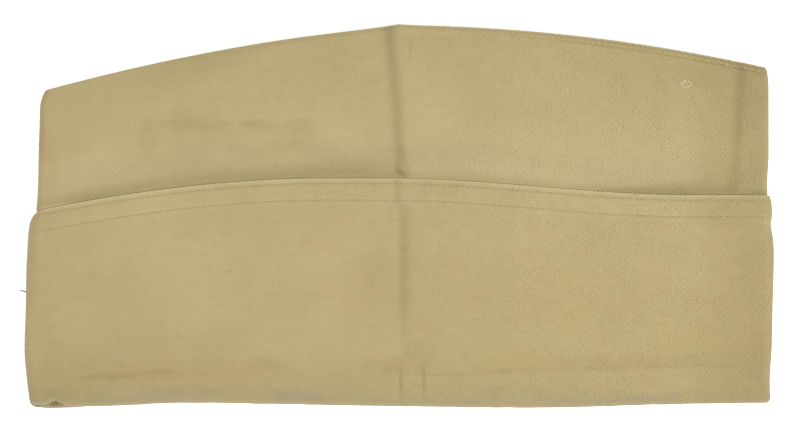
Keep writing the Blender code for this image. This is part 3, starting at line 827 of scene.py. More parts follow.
def gusset_grid():
    """Rows of points of the gusset: down under the upper side, round its fold and up over the lower side."""
    back = CROWN_BACK + END_THICKNESS / 2 + BACK_CORNER + GUSSET_END_MARGIN
    front = CROWN_FRONT - END_THICKNESS / 2 - FRONT_CORNER - GUSSET_END_MARGIN
    x = np.linspace(back, front, GUSSET_COLUMNS + 1)[None, :]
    middle, half_length = (back + front) / 2, (front - back) / 2
    leaf = np.clip(1 - np.abs((x - middle) / half_length) ** GUSSET_LEAF_POWER, 0, 1)
    top = crown_top(x)
    fold_height = top - GUSSET_TIP_DEPTH - (GUSSET_DEPTH - GUSSET_TIP_DEPTH) * leaf
    depth = CROWN_CLOTH * 1.5 + LAYER_GAP
    rows = edge_rows(0.12, 0.03, 1.0, 0.045)[:, None]
    height = top + rows * (fold_height - top)
    lift, thick = floor_lift(x, height), thickness(x, height)
    ripple = 0.00012 * soft_waves(x, height, (0.012, 0.040), seed=51) * eased((top - height) / 0.006)
    upper = np.stack([x + 0 * height, height, lift + thick - depth - np.abs(ripple)], axis=2)
    lower = np.stack([x + 0 * height, height, lift + depth + np.abs(ripple)], axis=2)[::-1]
    start, end = upper[-1], lower[0]
    angles = np.linspace(0, math.pi, GUSSET_FOLD_STEPS + 1)[1:-1, None, None]
    reach = (start[:, 2] - end[:, 2])[:, None] / 2 * np.array([0.0, 1.0, 0.0])
    fold = (start + end) / 2 + (start - end) / 2 * np.cos(angles) - reach * np.sin(angles)
    points = np.concatenate([upper, fold, lower])
    points[..., 1] += RIM_LINE_Y
    step = np.linalg.norm(np.diff(points, axis=0), axis=2)
    from_edge = np.concatenate([np.zeros((1, x.shape[1])), np.cumsum(step, axis=0)])
    along = np.broadcast_to(x, from_edge.shape)
    return points, along, from_edge


# Soiling with its painted shade, wear with its painted light, and warmth are made of soft bands, each a
# strength times bell() or eased() of the distance from its middle or its start, in metres.


def crown_soiling_and_shade(x, height, from_edge, above, side):
    """How much the crown is darkened: painted shadow over the curtain's edge, painted shade towards the top and
    in the crease and at the seam's step, two darker lines along the welt, and darker near the ends.
    """
    # Painted shadow cast by the curtain's raised edge on the crown above it.
    shade, reach = (read_table(EDGE_LIFTS, column, x / CURTAIN_FRONT) for column in ("shade", "reach"))
    soiling_and_shade = 0.80 * shade * eased((above - 0.0002) / 0.0008) * (1 - eased(above * 1000 / reach))
    soiling_and_shade += 0.62 * shade * bell(above - 0.0009, 0.0007)
    near_front = eased((x - 0.012) / 0.030)
    far_front = eased((x - 0.020) / 0.060)
    first_line = 0.30 * (x < 0) + 0.32 * near_front * far_front
    soiling_and_shade += first_line * bell(from_edge - WELT_STRIP, 0.0005) * eased((x + 0.095) / 0.030)
    soiling_and_shade += 0.66 * bell(from_edge - 0.0026, 0.00050) * far_front
    soiling_and_shade += 0.10 * (1 - eased(from_edge / 0.0060)) * (x < 0)
    # Painted shade: darker towards the top edge.
    soiling_and_shade += 0.20 * (1 - eased(from_edge / 0.034))
    soiling_and_shade += 0.09 * (1 - eased((x + 0.137) / 0.030)) * eased((x + 0.1365) / 0.004)
    if side == UPPER:
        # Painted shade on the crease's dark flank and at the seam allowance's step; darker towards the front
        # end.
        crease_shade = bell(x - read_table(CREASES, "place", height) + 0.0022, 0.0024) * eased(above / 0.002)
        seam_step_shade = bell(x - seam_line(from_edge) - 0.0004, 0.0022) * eased(above / 0.002)
        dark_end = 0.25 * eased((x - 0.104) / 0.018) + 0.22 * eased((x - 0.1245) / 0.005)
        dark_end *= eased(above / 0.004) * (1 + 0.34 * eased((above - 0.018) / 0.020))
        soiling_and_shade += 0.50 * crease_shade + 0.38 * seam_step_shade + dark_end
    # Past 1 the darkening turns into the deep painted shade tint.
    return np.clip(soiling_and_shade, 0, 2)


def crown_wear_and_light(x, from_edge, above, side):
    """How much the crown is lightened: painted light where it swells over the curtain's edge and just above
    that edge, and a painted highlight along its top edge.
    """
    # Painted light where the cloth swells towards the light, over the curtain's edge.
    swollen = eased((above - 0.002) / 0.004) * (1 - eased((above - 0.014) / 0.016))
    wear_and_light = (0.07 + 0.08 * eased((x + 0.010) / 0.040)) * swollen * (1 - eased((x - 0.105) / 0.012))
    wear_and_light += 0.12 * bell(x - 0.034, 0.026) * bell(above - 0.0060, 0.0045)
    wear_and_light += 0.15 * bell(x - 0.088, 0.022) * bell(above - 0.0095, 0.0045)
    # A painted highlight along the top edge.
    wear_and_light += 0.36 * bell(from_edge, 0.0008) * eased(x / 0.010)
    low_back = eased((above - 0.003) / 0.003) * (1 - eased((above - 0.012) / 0.010))
    wear_and_light += 0.14 * bell(x + 0.122, 0.016) * low_back
    if side == UPPER:
        wear_and_light += 0.20 * bell(above - 0.0032, 0.0018) * bell(x - 0.068, 0.024)
        # Painted light just over the curtain's edge.
        edge_light = 0.26 + 0.36 * bell(x + 0.018, 0.016) + 0.24 * bell(x + 0.095, 0.020)
        wear_and_light += edge_light * bell(above - 0.0001, 0.0006)
    return wear_and_light


def crown_warmth(x):
    """How pink the crown's cloth has gone: most at the front end, least just past the crease."""
    warmth = 0.26 + 0.10 * bell(x - 0.050, 0.030) + 0.40 * eased((x - 0.106) / 0.024)
    return warmth - 0.26 * bell(x - 0.006, 0.016)


def near_curtain_top(from_edge):
    """1 over the stitched hem at the curtain's upper edge, and 0 below it."""
    return 1 - eased((from_edge - 0.0075) / 0.004)


def curtain_soiling_and_shade(x, from_edge, rim_height, side):
    """How much the curtain is darkened: along the rim's fold and low down, painted shade in the pucker, in and
    round the crease and on the front fold's edge, and darker towards the ends.
    """
    soiling_and_shade = 0.16 * bell(rim_height, 0.0035) + 0.46 * bell(rim_height, 0.0013)
    # Painted shade in the pucker's opening.
    soiling_and_shade += 0.2 * bell(x - PUCKER_X, 0.0040) * (rim_height < 0.004)
    if side == UPPER:
        off_rim = eased((rim_height - 0.020) / 0.025)
        off_edge = 0.1 + 0.9 * eased((from_edge - 0.004) / 0.008)
        # Painted shade in the crease's valley, most near the curtain's top.
        past_valley = x - VALLEY_X
        crease_shade = np.exp(-np.maximum(past_valley, 0) / 0.0025) * eased(past_valley / 0.0006 + 1)
        crease_shade *= off_rim * off_edge
        crease_shade += 2.0 * bell(x + 0.0006, 0.0010) * near_curtain_top(from_edge)
        ends = 0.44 * eased((x - 0.094) / 0.044)
        ends += 0.20 * (1 - eased((x + 0.138) / 0.050)) * eased((x + 0.1405) / 0.005)
        # Painted shade on the front fold's edge; darker near the back fold.
        ends += 0.30 * eased((x - 0.1372) / 0.0022) + 0.12 * bell(x + 0.1315, 0.0045)
        # Painted shade round the crease's valley.
        middle = 0.20 * bell(x + 0.001, 0.018) * off_rim
        low = 0.26 * (1 - eased((rim_height - 0.008) / 0.024))
        soiling_and_shade += 0.34 * crease_shade + ends + middle + low
    return np.clip(soiling_and_shade, 0, 1)


def curtain_wear_and_light(x, from_edge, side):
    """How much the curtain is lightened: a painted highlight on its rolled upper edge, painted light beside the
    crease, and paler bands near the edge.
    """
    # A painted highlight on the rolled upper edge.
    wear_and_light = 0.46 * bell(from_edge - 0.0002, 0.0006) * (1 - 0.5 * eased((x - 0.122) / 0.010))
    wear_and_light += 0.04 * bell(from_edge - 0.006, 0.006) * (x < 0)
    wear_and_light += 0.15 * bell(from_edge - 0.0045, 0.0045) * bell(x - 0.088, 0.017)
    if side == UPPER:
        # Painted light beside the crease's valley.
        wear_and_light += 0.22 * bell(x - 0.0022, 0.0022) * near_curtain_top(from_edge)
    return wear_and_light


def curtain_warmth(x, from_edge, rim_height):
    """How pink the curtain's cloth has gone: all of its front, its rim, and least at its upper edge."""
    low_rim = 1 - eased((rim_height - 0.014) / 0.012)
    warmth = 0.12 + 0.30 * (1 - eased((x + 0.130) / 0.060))
    warmth += (1 - warmth) * np.maximum(eased((x + 0.075) / 0.050), low_rim)
    return warmth * (1 - 0.45 * (1 - eased((from_edge - 0.002) / 0.012)))


def cloth_mesh(name, points, cloth, layers, values, thinned=None):
    """A piece of cloth laid through a grid of points, with its UV layers, its attributes and its thickness.
    thinned is the share of its thickness that pressing has taken away at each point."""
    across, along = points.shape[0] - 1, points.shape[1] - 1
    grid = bmesh.new()
    bmesh.ops.create_grid(grid, x_segments=along, y_segments=across, size=1.0)
    mesh = bpy.data.meshes.new(name)
    grid.to_mesh(mesh)
    grid.free()
    flat = np.zeros(len(mesh.vertices) * 3)
    mesh.vertices.foreach_get("co", flat)
    flat = flat.reshape(-1, 3)
    column = np.rint((flat[:, 0] + 1) / 2 * along).astype(int)
    row = np.rint((flat[:, 1] + 1) / 2 * across).astype(int)
    mesh.vertices.foreach_set("co", points[row, column].ravel())
    corner = np.zeros(len(mesh.loops), int)
    mesh.loops.foreach_get("vertex_index", corner)
    for layer_name, u, v in layers:
        layer = mesh.uv_layers.new(name=layer_name)
        uv = np.stack([u, v], axis=2)
        layer.uv.foreach_set("vector", uv[row, column][corner].astype(np.float32).ravel())
    for value_name, value in values:
        attribute = mesh.attributes.new(value_name, "FLOAT", "POINT")
        spread = np.broadcast_to(value, points.shape[:2])
        attribute.data.foreach_set("value", spread[row, column].astype(np.float32).ravel())
    mesh.update()
    mesh.shade_smooth()
    piece = bpy.data.objects.new(name, mesh)
    bpy.context.scene.collection.objects.link(piece)
    wall = piece.modifiers.new("cloth", "SOLIDIFY")
    wall.thickness = cloth
    wall.offset = 0.0
    wall.use_even_offset = True
    if thinned is not None:
        group = piece.vertex_groups.new(name="thickness")
        left = np.rint((1 - np.broadcast_to(thinned, points.shape[:2])[row, column]) * 50) / 50
        for weight in np.unique(left):
            group.add([int(k) for k in np.flatnonzero(left == weight)], float(weight), "REPLACE")
        wall.vertex_group = group.name
    rounding = piece.modifiers.new("turned edge", "BEVEL")
    rounding.limit_method = "ANGLE"
    rounding.angle_limit = math.radians(60)
    rounding.width = cloth * 0.42
    rounding.segments = 3
    return piece


def add_node(tree, kind, inputs=(), **settings):
    """A shader node with its settings and its inputs, each a number, a colour or another node's output."""
    node = tree.nodes.new(kind)
    for key, value in settings.items():
        setattr(node, key, value)
    for key, value in dict(inputs).items():
        socket = node.inputs[key]
        if isinstance(value, bpy.types.NodeSocket):
            tree.links.new(value, socket)
        else:
            socket.default_value = value
    return node


def maths(tree, operation, *terms):
    return add_node(tree, "ShaderNodeMath", dict(enumerate(terms)), operation=operation).outputs[0]


def vector_maths(tree, operation, *terms):
    return add_node(tree, "ShaderNodeVectorMath", dict(enumerate(terms)), operation=operation).outputs[0]


def plus(tree, first, second):
    return maths(tree, "ADD", first, second)


def times(tree, first, second):
    return maths(tree, "MULTIPLY", first, second)


def attribute_value(tree, name):
    return add_node(tree, "ShaderNodeAttribute", attribute_name=name).outputs["Fac"]


def stretched(tree, vector, scale):
    """The place to read a noise at, so that it stretches by the scale along X."""
    return add_node(tree, "ShaderNodeMapping", {"Vector": vector, "Scale": (scale, 1.0, 1.0)}).outputs[0]


def ramp(tree, value, low, high, out_low=0.0, out_high=1.0):
    """A value eased from one range to another."""
    node = add_node(
        tree, "ShaderNodeMapRange",
        {"Value": value, "From Min": low, "From Max": high, "To Min": out_low, "To Max": out_high},
        interpolation_type="SMOOTHSTEP")
    return node.outputs["Result"]


def mixed(tree, share, first, second, mode="MIX"):
    node = add_node(
        tree, "ShaderNodeMix", {0: share, 6: first, 7: second}, data_type="RGBA", blend_type=mode,
        clamp_factor=True)
    return node.outputs[2]


def noise(tree, vector, scale, detail=2.0, roughness=0.5):
    node = add_node(
        tree, "ShaderNodeTexNoise",
        {"Vector": vector, "Scale": scale, "Detail": detail, "Roughness": roughness})
    return node.outputs["Fac"]


def new_group(name, inputs, outputs):
    """An empty node group with its sockets, and its own input and output nodes."""
    group = bpy.data.node_groups.new(name, "ShaderNodeTree")
    for label, kind, default in inputs:
        socket = group.interface.new_socket(label, in_out="INPUT", socket_type=kind)
        if default is not None:
            socket.default_value = default
    for label, kind in outputs:
        group.interface.new_socket(label, in_out="OUTPUT", socket_type=kind)
    return group, group.nodes.new("NodeGroupInput"), group.nodes.new("NodeGroupOutput")


def place_group(tree, name, inputs):
    return add_node(tree, "ShaderNodeGroup", inputs, node_tree=bpy.data.node_groups[name])


def build_twill_group():
    """Twill lines that slope across the cloth, broken up by the threads that cross them."""
    group, given, out = new_group(
        "Twill weave",
        [("Vector", "NodeSocketVector", None), ("Pitch", "NodeSocketFloat", 0.0008),
         ("Slope", "NodeSocketFloat", 0.47)],
        [("Lines", "NodeSocketFloat"), ("Threads", "NodeSocketFloat")])
    split = add_node(group, "ShaderNodeSeparateXYZ", {0: given.outputs["Vector"]})
    x, y = split.outputs["X"], split.outputs["Y"]
    sine = maths(group, "SINE", given.outputs["Slope"])
    cosine = maths(group, "COSINE", given.outputs["Slope"])
    across = plus(group, times(group, x, sine), times(group, y, cosine))
    along = maths(group, "SUBTRACT", times(group, x, cosine), times(group, y, sine))
    wander = times(group, noise(group, given.outputs["Vector"], 90.0, 3.0), 1.6)
    turns = plus(group, maths(group, "DIVIDE", across, given.outputs["Pitch"]), wander)
    wave = maths(group, "SINE", times(group, turns, 2 * math.pi))
    crossing = plus(group, maths(group, "DIVIDE", along, given.outputs["Pitch"]), times(group, turns, 0.5))
    floats = maths(group, "SINE", times(group, crossing, 2 * math.pi * 0.8))
    lines = plus(group, times(group, wave, 0.42), times(group, floats, 0.08))
    group.links.new(plus(group, lines, 0.5), out.inputs["Lines"])
    slubs = noise(group, stretched(group, given.outputs["Vector"], 0.35), 2200.0, 2.0, 0.6)
    group.links.new(slubs, out.inputs["Threads"])


def build_spot_group():
    """A soft oval mark."""
    group, given, out = new_group(
        "Soft mark",
        [("Vector", "NodeSocketVector", None), ("Centre", "NodeSocketVector", (0, 0, 0)),
         ("Half size", "NodeSocketVector", (1, 1, 1)), ("Turn", "NodeSocketFloat", 0.0),
         ("Edge", "NodeSocketFloat", 0.8)],
        [("Mask", "NodeSocketFloat")])
    offset = vector_maths(group, "SUBTRACT", given.outputs["Vector"], given.outputs["Centre"])
    turn_back = times(group, given.outputs["Turn"], -1.0)
    turned = add_node(
        group, "ShaderNodeVectorRotate", {"Vector": offset, "Angle": turn_back}, rotation_type="Z_AXIS")
    scaled = vector_maths(group, "DIVIDE", turned.outputs[0], given.outputs["Half size"])
    reach = add_node(group, "ShaderNodeVectorMath", {0: scaled}, operation="LENGTH")
    inner = maths(group, "SUBTRACT", 1.0, given.outputs["Edge"])
    mask = ramp(group, reach.outputs["Value"], 1.0, inner)
    group.links.new(mask, out.inputs["Mask"])


def build_row_group():
    """A row of stitches along an edge: masks of the pulled-in groove and of the holes at each stitch's ends,
    which the cloth darkens with painted shade.
    """
    group, given, out = new_group(
        "Stitched row",
        [("Vector", "NodeSocketVector", None), ("Row", "NodeSocketFloat", 0.002),
         ("Pitch", "NodeSocketFloat", 0.0023)],
        [("Groove", "NodeSocketFloat"), ("Holes", "NodeSocketFloat")])
    split = add_node(group, "ShaderNodeSeparateXYZ", {0: given.outputs["Vector"]})
    away = maths(group, "ABSOLUTE", maths(group, "SUBTRACT", split.outputs["Y"], given.outputs["Row"]))
    groove = ramp(group, away, 0.00075, 0.0)
    steps = maths(group, "DIVIDE", split.outputs["X"], given.outputs["Pitch"])
    beat = maths(group, "ABSOLUTE", maths(group, "SUBTRACT", maths(group, "FRACT", steps), 0.5))
    hole = ramp(group, beat, 0.30, 0.5)
    narrow = ramp(group, away, 0.00060, 0.00010)
    group.links.new(groove, out.inputs["Groove"])
    group.links.new(times(group, hole, narrow), out.inputs["Holes"])


def rgba(colour):
    return (*colour, 1.0)


def cloth_material(name, spots, rows):
    """Faded twill with the stains of one kind of cloth, the shade and light painted on it, and painted shade in
    the rows where it is stitched.
    """
    material = bpy.data.materials.new(name)
    material.use_nodes = True
    tree = material.node_tree
    shader = tree.nodes["Principled BSDF"]
    s, c = sizes(), colours()
    grain = add_node(tree, "ShaderNodeUVMap", uv_map="grain").outputs[0]
    edge = add_node(tree, "ShaderNodeUVMap", uv_map="edge").outputs[0]
    place = add_node(tree, "ShaderNodeTexCoord").outputs["Object"]
    twill = place_group(
        tree, "Twill weave", {"Vector": grain, "Pitch": s.twill_pitch, "Slope": s.twill_slope})

    def over(share, under, tint_name):
        return mixed(tree, share, under, rgba(getattr(c, tint_name)))

    colour = over(ramp(tree, noise(tree, grain, 26.0, 3.0), 0.30, 0.72), rgba(c.khaki), "faded")
    mottle = noise(tree, grain, 150.0, 3.0, 0.6)
    colour = over(ramp(tree, mottle, 0.45, 0.70, 0.0, 0.16), colour, "rust")
    colour = over(ramp(tree, mottle, 0.50, 0.28, 0.0, 0.14), colour, "grime_and_shade")
    ragged = add_node(
        tree, "ShaderNodeTexNoise", {"Vector": place, "Scale": 120.0, "Detail": 4.0, "Roughness": 0.6})
    shift = vector_maths(tree, "SUBTRACT", ragged.outputs["Color"], (0.5, 0.5, 0.5))
    moved = {}
    for distance in (BROAD_SHIFT, NARROW_SHIFT):
        by = add_node(tree, "ShaderNodeVectorMath", {0: shift, "Scale": distance}, operation="SCALE")
        moved[distance] = vector_maths(tree, "ADD", place, by.outputs[0])
    blotch = ramp(tree, noise(tree, stretched(tree, place, 0.45), 240.0, 4.0, 0.65), 0.34, 0.60, 0.40, 1.10)
    broad_first = sorted(spots, key=lambda spot: -spot.half_width * spot.half_height)

    def marked(under, deep):
        """The colour with the marks of this cloth, either the painted shade marks deep in folds or all the
        others.
        """
        for spot in broad_first:
            if (spot.tint == "shadow") != deep:
                continue
            small = spot.half_width < SMALL_SPOT
            uneven = moved[NARROW_SHIFT if spot.half_height < NARROW_SPOT else BROAD_SHIFT]
            mask = place_group(tree, "Soft mark", {
                "Vector": place if small else uneven,
                "Centre": (spot.x * 0.001, spot.y * 0.001, 0.0),
                "Half size": (spot.half_width * 0.001, spot.half_height * 0.001, 1.0),
                "Turn": math.radians(spot.turn),
                "Edge": spot.edge,
            }).outputs["Mask"]
            strength = times(tree, mask, spot.strength)
            if not small:
                strength = times(tree, strength, blotch)
            under = over(strength, under, spot.tint)
        return under

    colour = marked(colour, deep=False)
    blush = ramp(tree, noise(tree, place, 170.0, 3.0, 0.6), 0.46, 0.60, 0.0, 0.42)
    colour = over(times(tree, blush, attribute_value(tree, "warmth")), colour, "blush")
    broken = ramp(tree, noise(tree, place, 420.0, 4.0, 0.7), 0.32, 0.68, 0.85, 1.15)
    # The soiling attribute is partly painted shade, and past 1 it deepens into the painted shade tint.
    soiled_and_shaded = times(tree, attribute_value(tree, "soiling_and_shade"), broken)
    colour = over(soiled_and_shaded, colour, "grime_and_shade")
    colour = over(ramp(tree, soiled_and_shaded, 1.0, 2.0, 0.0, 0.30), colour, "shadow")
    streaks = noise(tree, stretched(tree, grain, 0.25), 520.0, 3.0, 0.6)
    colour = over(ramp(tree, streaks, 0.42, 0.75, 0.0, 0.14), colour, "grime_and_shade")
    # The wear attribute mixes in painted light, and the dust attribute painted shade.
    colour = over(attribute_value(tree, "wear_and_light"), colour, "pale")
    colour = over(attribute_value(tree, "dust_and_shade"), colour, "dust_and_shade")
    # The painted shade marks go on last.
    colour = marked(colour, deep=True)
    raised = plus(
        tree, times(tree, twill.outputs["Lines"], 0.7), times(tree, twill.outputs["Threads"], 0.5))
    if rows:
        grooves, holes = 0.0, 0.0
        for row in rows:
            stitched = place_group(
                tree, "Stitched row", {"Vector": edge, "Row": row, "Pitch": s.stitch_pitch})
            grooves = plus(tree, stitched.outputs["Groove"], grooves)
            holes = plus(tree, stitched.outputs["Holes"], holes)
        # Painted shade in the stitch grooves and holes.
        colour = over(times(tree, grooves, 0.05), colour, "grime_and_shade")
        colour = mixed(tree, times(tree, holes, 0.16), colour, rgba(tuple(v * 0.5 for v in c.grime_and_shade)))
        raised = maths(tree, "SUBTRACT", raised, times(tree, holes, 1.2))
    fulled = ramp(tree, noise(tree, place, 230.0, 3.0, 0.6), 0.36, 0.62, 0.28, 1.60)
    crisp = times(tree, attribute_value(tree, "crispness"), fulled)
    lines = ramp(tree, twill.outputs["Lines"], 0.0, 1.0, -0.14, 0.12)
    threads = ramp(tree, twill.outputs["Threads"], 0.25, 0.75, -0.06, 0.06)
    weave = plus(tree, times(tree, plus(tree, lines, threads), crisp), 1.0)
    weave_colour = add_node(tree, "ShaderNodeCombineColor", {0: weave, 1: weave, 2: weave}).outputs[0]
    colour = mixed(tree, 1.0, colour, weave_colour, "MULTIPLY")
    tree.links.new(colour, shader.inputs["Base Color"])
    rough = ramp(tree, twill.outputs["Threads"], 0.2, 0.8, 0.84, 0.97)
    tree.links.new(rough, shader.inputs["Roughness"])
    bump = add_node(tree, "ShaderNodeBump", {"Height": raised, "Strength": 0.5, "Distance": 0.00016})
    tree.links.new(bump.outputs[0], shader.inputs["Normal"])
    shader.inputs["Sheen Weight"].default_value = 0.12
    shader.inputs["Sheen Roughness"].default_value = 0.45
    shader.inputs["Specular IOR Level"].default_value = 0.25
    return material


def thread_material(name, colour):
    """Twisted cotton sewing thread."""
    material = bpy.data.materials.new(name)
    material.use_nodes = True
    tree = material.node_tree
    shader = tree.nodes["Principled BSDF"]
    place = add_node(tree, "ShaderNodeTexCoord").outputs["Object"]
    fuzz = noise(tree, place, 2600.0, 2.0)
    dark = tuple(v * 0.72 for v in colour)
    light = tuple(min(v * 1.2, 1) for v in colour)
    shade = mixed(tree, fuzz, rgba(dark), rgba(light))
    tree.links.new(shade, shader.inputs["Base Color"])
    tree.links.new(ramp(tree, fuzz, 0.2, 0.8, 0.7, 0.9), shader.inputs["Roughness"])
    bump = add_node(tree, "ShaderNodeBump", {"Height": fuzz, "Strength": 0.4, "Distance": 0.00008})
    tree.links.new(bump.outputs[0], shader.inputs["Normal"])
    return material


def finish_piece(piece, material, node=None):
    piece.data.materials.append(material)
    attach(piece, BODY)
    if node:
        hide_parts(node)


def stitch_row(batch, points, normals, width):
    """Adds stitches to a batch, each laid along one pair of points and sunk half into the cloth."""
    s = sizes()
    bead = bmesh.new()
    bmesh.ops.create_uvsphere(bead, u_segments=8, v_segments=5, radius=0.5)
    template = bpy.data.meshes.new("bead")
    bead.to_mesh(template)
    bead.free()
    for (start, end), normal in zip(points, normals):
        start, end, normal = Vector(start), Vector(end), Vector(normal).normalized()
        run = (end - start).normalized()
        side = normal.cross(run).normalized()
        lift = run.cross(side)
        turn = Matrix((run, side, lift)).transposed().to_4x4()
        size = Matrix.Diagonal((s.stitch_length, width, width, 1.0))
        matrix = Matrix.Translation((start + end) / 2 + lift * width * 0.12) @ turn @ size
        template.transform(matrix)
        batch.from_mesh(template)
        template.transform(matrix.inverted())
    bpy.data.meshes.remove(template)


def grid_reader(points):
    """Reads a grid of points at fractional rows and columns."""
    rows, cols = points.shape[:2]

    def read(row, col):
        row, col = np.clip(row, 0, rows - 1.001), np.clip(col, 0, cols - 1.001)
        r, c = row.astype(int), col.astype(int)
        fr, fc = (row - r)[:, None], (col - c)[:, None]
        near = points[r, c] * (1 - fc) + points[r, c + 1] * fc
        far = points[r + 1, c] * (1 - fc) + points[r + 1, c + 1] * fc
        return near * (1 - fr) + far * fr
    return read


def row_stitches(points, along, from_edge, side, row, cloth, first, last):
    """End points and normals of the stitches of a row that follows an edge of a grid."""
    s = sizes()
    normals = outward(points, side)
    outer = points + normals * cloth / 2
    columns = np.arange(points.shape[1])
    order = np.argsort(from_edge[:, 0])
    at_row = np.array([np.interp(row, from_edge[order, k], order.astype(float)) for k in columns])
    run = np.array([np.interp(at_row[k], np.arange(points.shape[0]), along[:, k]) for k in columns])
    pitch = s.stitch_pitch
    starts = np.arange(math.ceil(first / pitch), math.floor(last / pitch)) * pitch
    read, read_normal = grid_reader(outer), grid_reader(normals)
    slack = (pitch - s.stitch_length) / 2
    ends = []
    for place in (starts + slack, starts + pitch - slack):
        col = np.interp(place, run, columns)
        rows_at = np.interp(col, columns, at_row)
        ends.append(read(rows_at, col))
    middle = np.interp(starts + pitch / 2, run, columns)
    normal = read_normal(np.interp(middle, columns, at_row), middle)
    return list(zip(ends[0], ends[1])), normal


def thread_strand(batch, route, width):
    """Adds a short strand of thread that follows a route, tapered at both ends."""
    route = [Vector(point) for point in route]
    ring, sides = [], 6
    for i, point in enumerate(route):
        run = (route[min(i + 1, len(route) - 1)] - route[max(i - 1, 0)]).normalized()
        side = run.cross(Vector((0, 0, 1))).normalized()
        lift = side.cross(run)
        radius = width / 2 * (0.45 if i in (0, len(route) - 1) else 1.0)
        ring.append([
            batch.verts.new(point + radius * (side * math.cos(a) + lift * math.sin(a)))
            for a in (2 * math.pi * k / sides for k in range(sides))])
    for near, far in zip(ring, ring[1:]):
        for k in range(sides):
            batch.faces.new((near[k], near[(k + 1) % sides], far[(k + 1) % sides], far[k]))
    batch.faces.new(reversed(ring[0]))
    batch.faces.new(ring[-1])


def surface_height(points, x, y):
    """Z of a grid of points over one place, from its nearest point."""
    away = (points[..., 0] - x) ** 2 + (points[..., 1] - y) ** 2
    return float(points[..., 2][np.unravel_index(np.argmin(away), away.shape)])


def stitched_piece(name, batch, material):
    """A finished piece from a batch of stitches or loose threads, which is used up."""
    mesh = bpy.data.meshes.new(name)
    batch.to_mesh(mesh)
    batch.free()
    mesh.shade_smooth()
    piece = bpy.data.objects.new(name, mesh)
    bpy.context.scene.collection.objects.link(piece)
    finish_piece(piece, material)


# What the cloth's operators leave for the stitches: points, places along the edge and distances from it.
GRIDS = {}


class CrownSidesOperator(bpy.types.Operator):
    """Lays the two sides of the crown"""
    bl_idname = "garrison_cap.crown_sides"
    bl_label = "Crown sides"

    def execute(self, context):
        for side, name in ((UPPER, "right"), (LOWER, "left")):
            points, along, height, from_edge, above = crown_grid(side)
            GRIDS["crown", side] = points, along, from_edge
            x = points[..., 0]
            piece = cloth_mesh(
                f"crown_{name}_cloth", points, CROWN_SHEET,
                [("grain", along, height), ("edge", along, from_edge)],
                [("soiling_and_shade", crown_soiling_and_shade(x, height, from_edge, above, side)),
                 ("crispness", crispness(x, *CROWN_CRISPNESS)),
                 ("wear_and_light", crown_wear_and_light(x, from_edge, above, side)),
                 # Painted shade where the crown turns away from above at its folded ends.
                 ("warmth", crown_warmth(x)), ("dust_and_shade", turned_away_shade(points, side) * (np.abs(x) > 0.130))])
            material = bpy.data.materials.get("crown twill") or cloth_material("crown twill", CROWN_SPOTS, ())
            finish_piece(piece, material, f"crown_side_{name}")
        return {"FINISHED"}


class CurtainOperator(bpy.types.Operator):
    """Lays the turned-up curtain with its rolled rim and its hem inside the crown"""
    bl_idname = "garrison_cap.curtain"
    bl_label = "Curtain"

    def execute(self, context):
        s = sizes()
        for side, name in ((UPPER, "right"), (LOWER, "left")):
            points, along, from_edge = curtain_grid(side)
            GRIDS["curtain", side] = points, along, from_edge
            x = points[..., 0]
            rim_height = points[..., 1] - RIM_LINE_Y - rim(x, 0 * x, side)
            # Painted shade where the cloth turns away from above, and darker along the rim.
            dust_and_shade = turned_away_shade(points, side) * (from_edge > 0.002) + 0.16 * (1 - eased(rim_height / 0.0050))
            piece = cloth_mesh(
                f"curtain_{name}_cloth", points, CURTAIN_SHEET,
                [("grain", along, -from_edge), ("edge", along, from_edge)],
                [("soiling_and_shade", curtain_soiling_and_shade(x, from_edge, rim_height, side)),
                 ("crispness", crispness(x, *CURTAIN_CRISPNESS)),
                 ("wear_and_light", curtain_wear_and_light(x, from_edge, side)),
                 ("warmth", curtain_warmth(x, from_edge, rim_height)), ("dust_and_shade", dust_and_shade)],
                thinned=EDGE_THINNING * bell(from_edge, 0.0012))
            material = bpy.data.materials.get("curtain twill") or cloth_material(
                "curtain twill", CURTAIN_SPOTS, (s.edge_row, s.hem_row))
            finish_piece(piece, material, f"curtain_{name}")
        return {"FINISHED"}


class GussetOperator(bpy.types.Operator):
    """Lays the gusset, folded down inside the top of the crown"""
    bl_idname = "garrison_cap.gusset"
    bl_label = "Gusset"

    def execute(self, context):
        points, along, from_edge = gusset_grid()
        piece = cloth_mesh(
            "gusset_cloth", points, CROWN_SHEET,
            [("grain", along, -from_edge), ("edge", along, from_edge)],
            [("soiling_and_shade", 0.10 + 0 * from_edge), ("crispness", crispness(points[..., 0], *CROWN_CRISPNESS)),
             ("wear_and_light", 0 * from_edge), ("warmth", 0 * from_edge), ("dust_and_shade", 0 * from_edge)])
        finish_piece(piece, bpy.data.materials["crown twill"], "crown_gusset")
        return {"FINISHED"}


class StitchingOperator(bpy.types.Operator):
    """Sews the rows of stitches along the curtain's edge and the crown's welt"""
    bl_idname = "garrison_cap.stitching"
    bl_label = "Stitching"

    def execute(self, context):
        s, c = sizes(), colours()
        thread = thread_material("khaki thread", tuple(c.thread))
        welt_thread = thread_material("welt thread", tuple(c.welt_thread))
        for side, name in ((UPPER, "right"), (LOWER, "left")):
            batch = bmesh.new()
            for row in (s.edge_row, s.hem_row):
                stitches = row_stitches(
                    *GRIDS["curtain", side], side, row, CURTAIN_SHEET, -STITCHED_REACH, STITCHED_REACH)
                stitch_row(batch, *stitches, s.thread)
            stitched_piece(f"curtain_{name}_stitches", batch, thread)
            batch = bmesh.new()
            stitches = row_stitches(
                *GRIDS["crown", side], side, s.top_row, CROWN_SHEET, WELT_START, WELT_END)
            stitch_row(batch, *stitches, s.thread)
            stitched_piece(f"crown_{name}_stitches", batch, welt_thread)
        return {"FINISHED"}


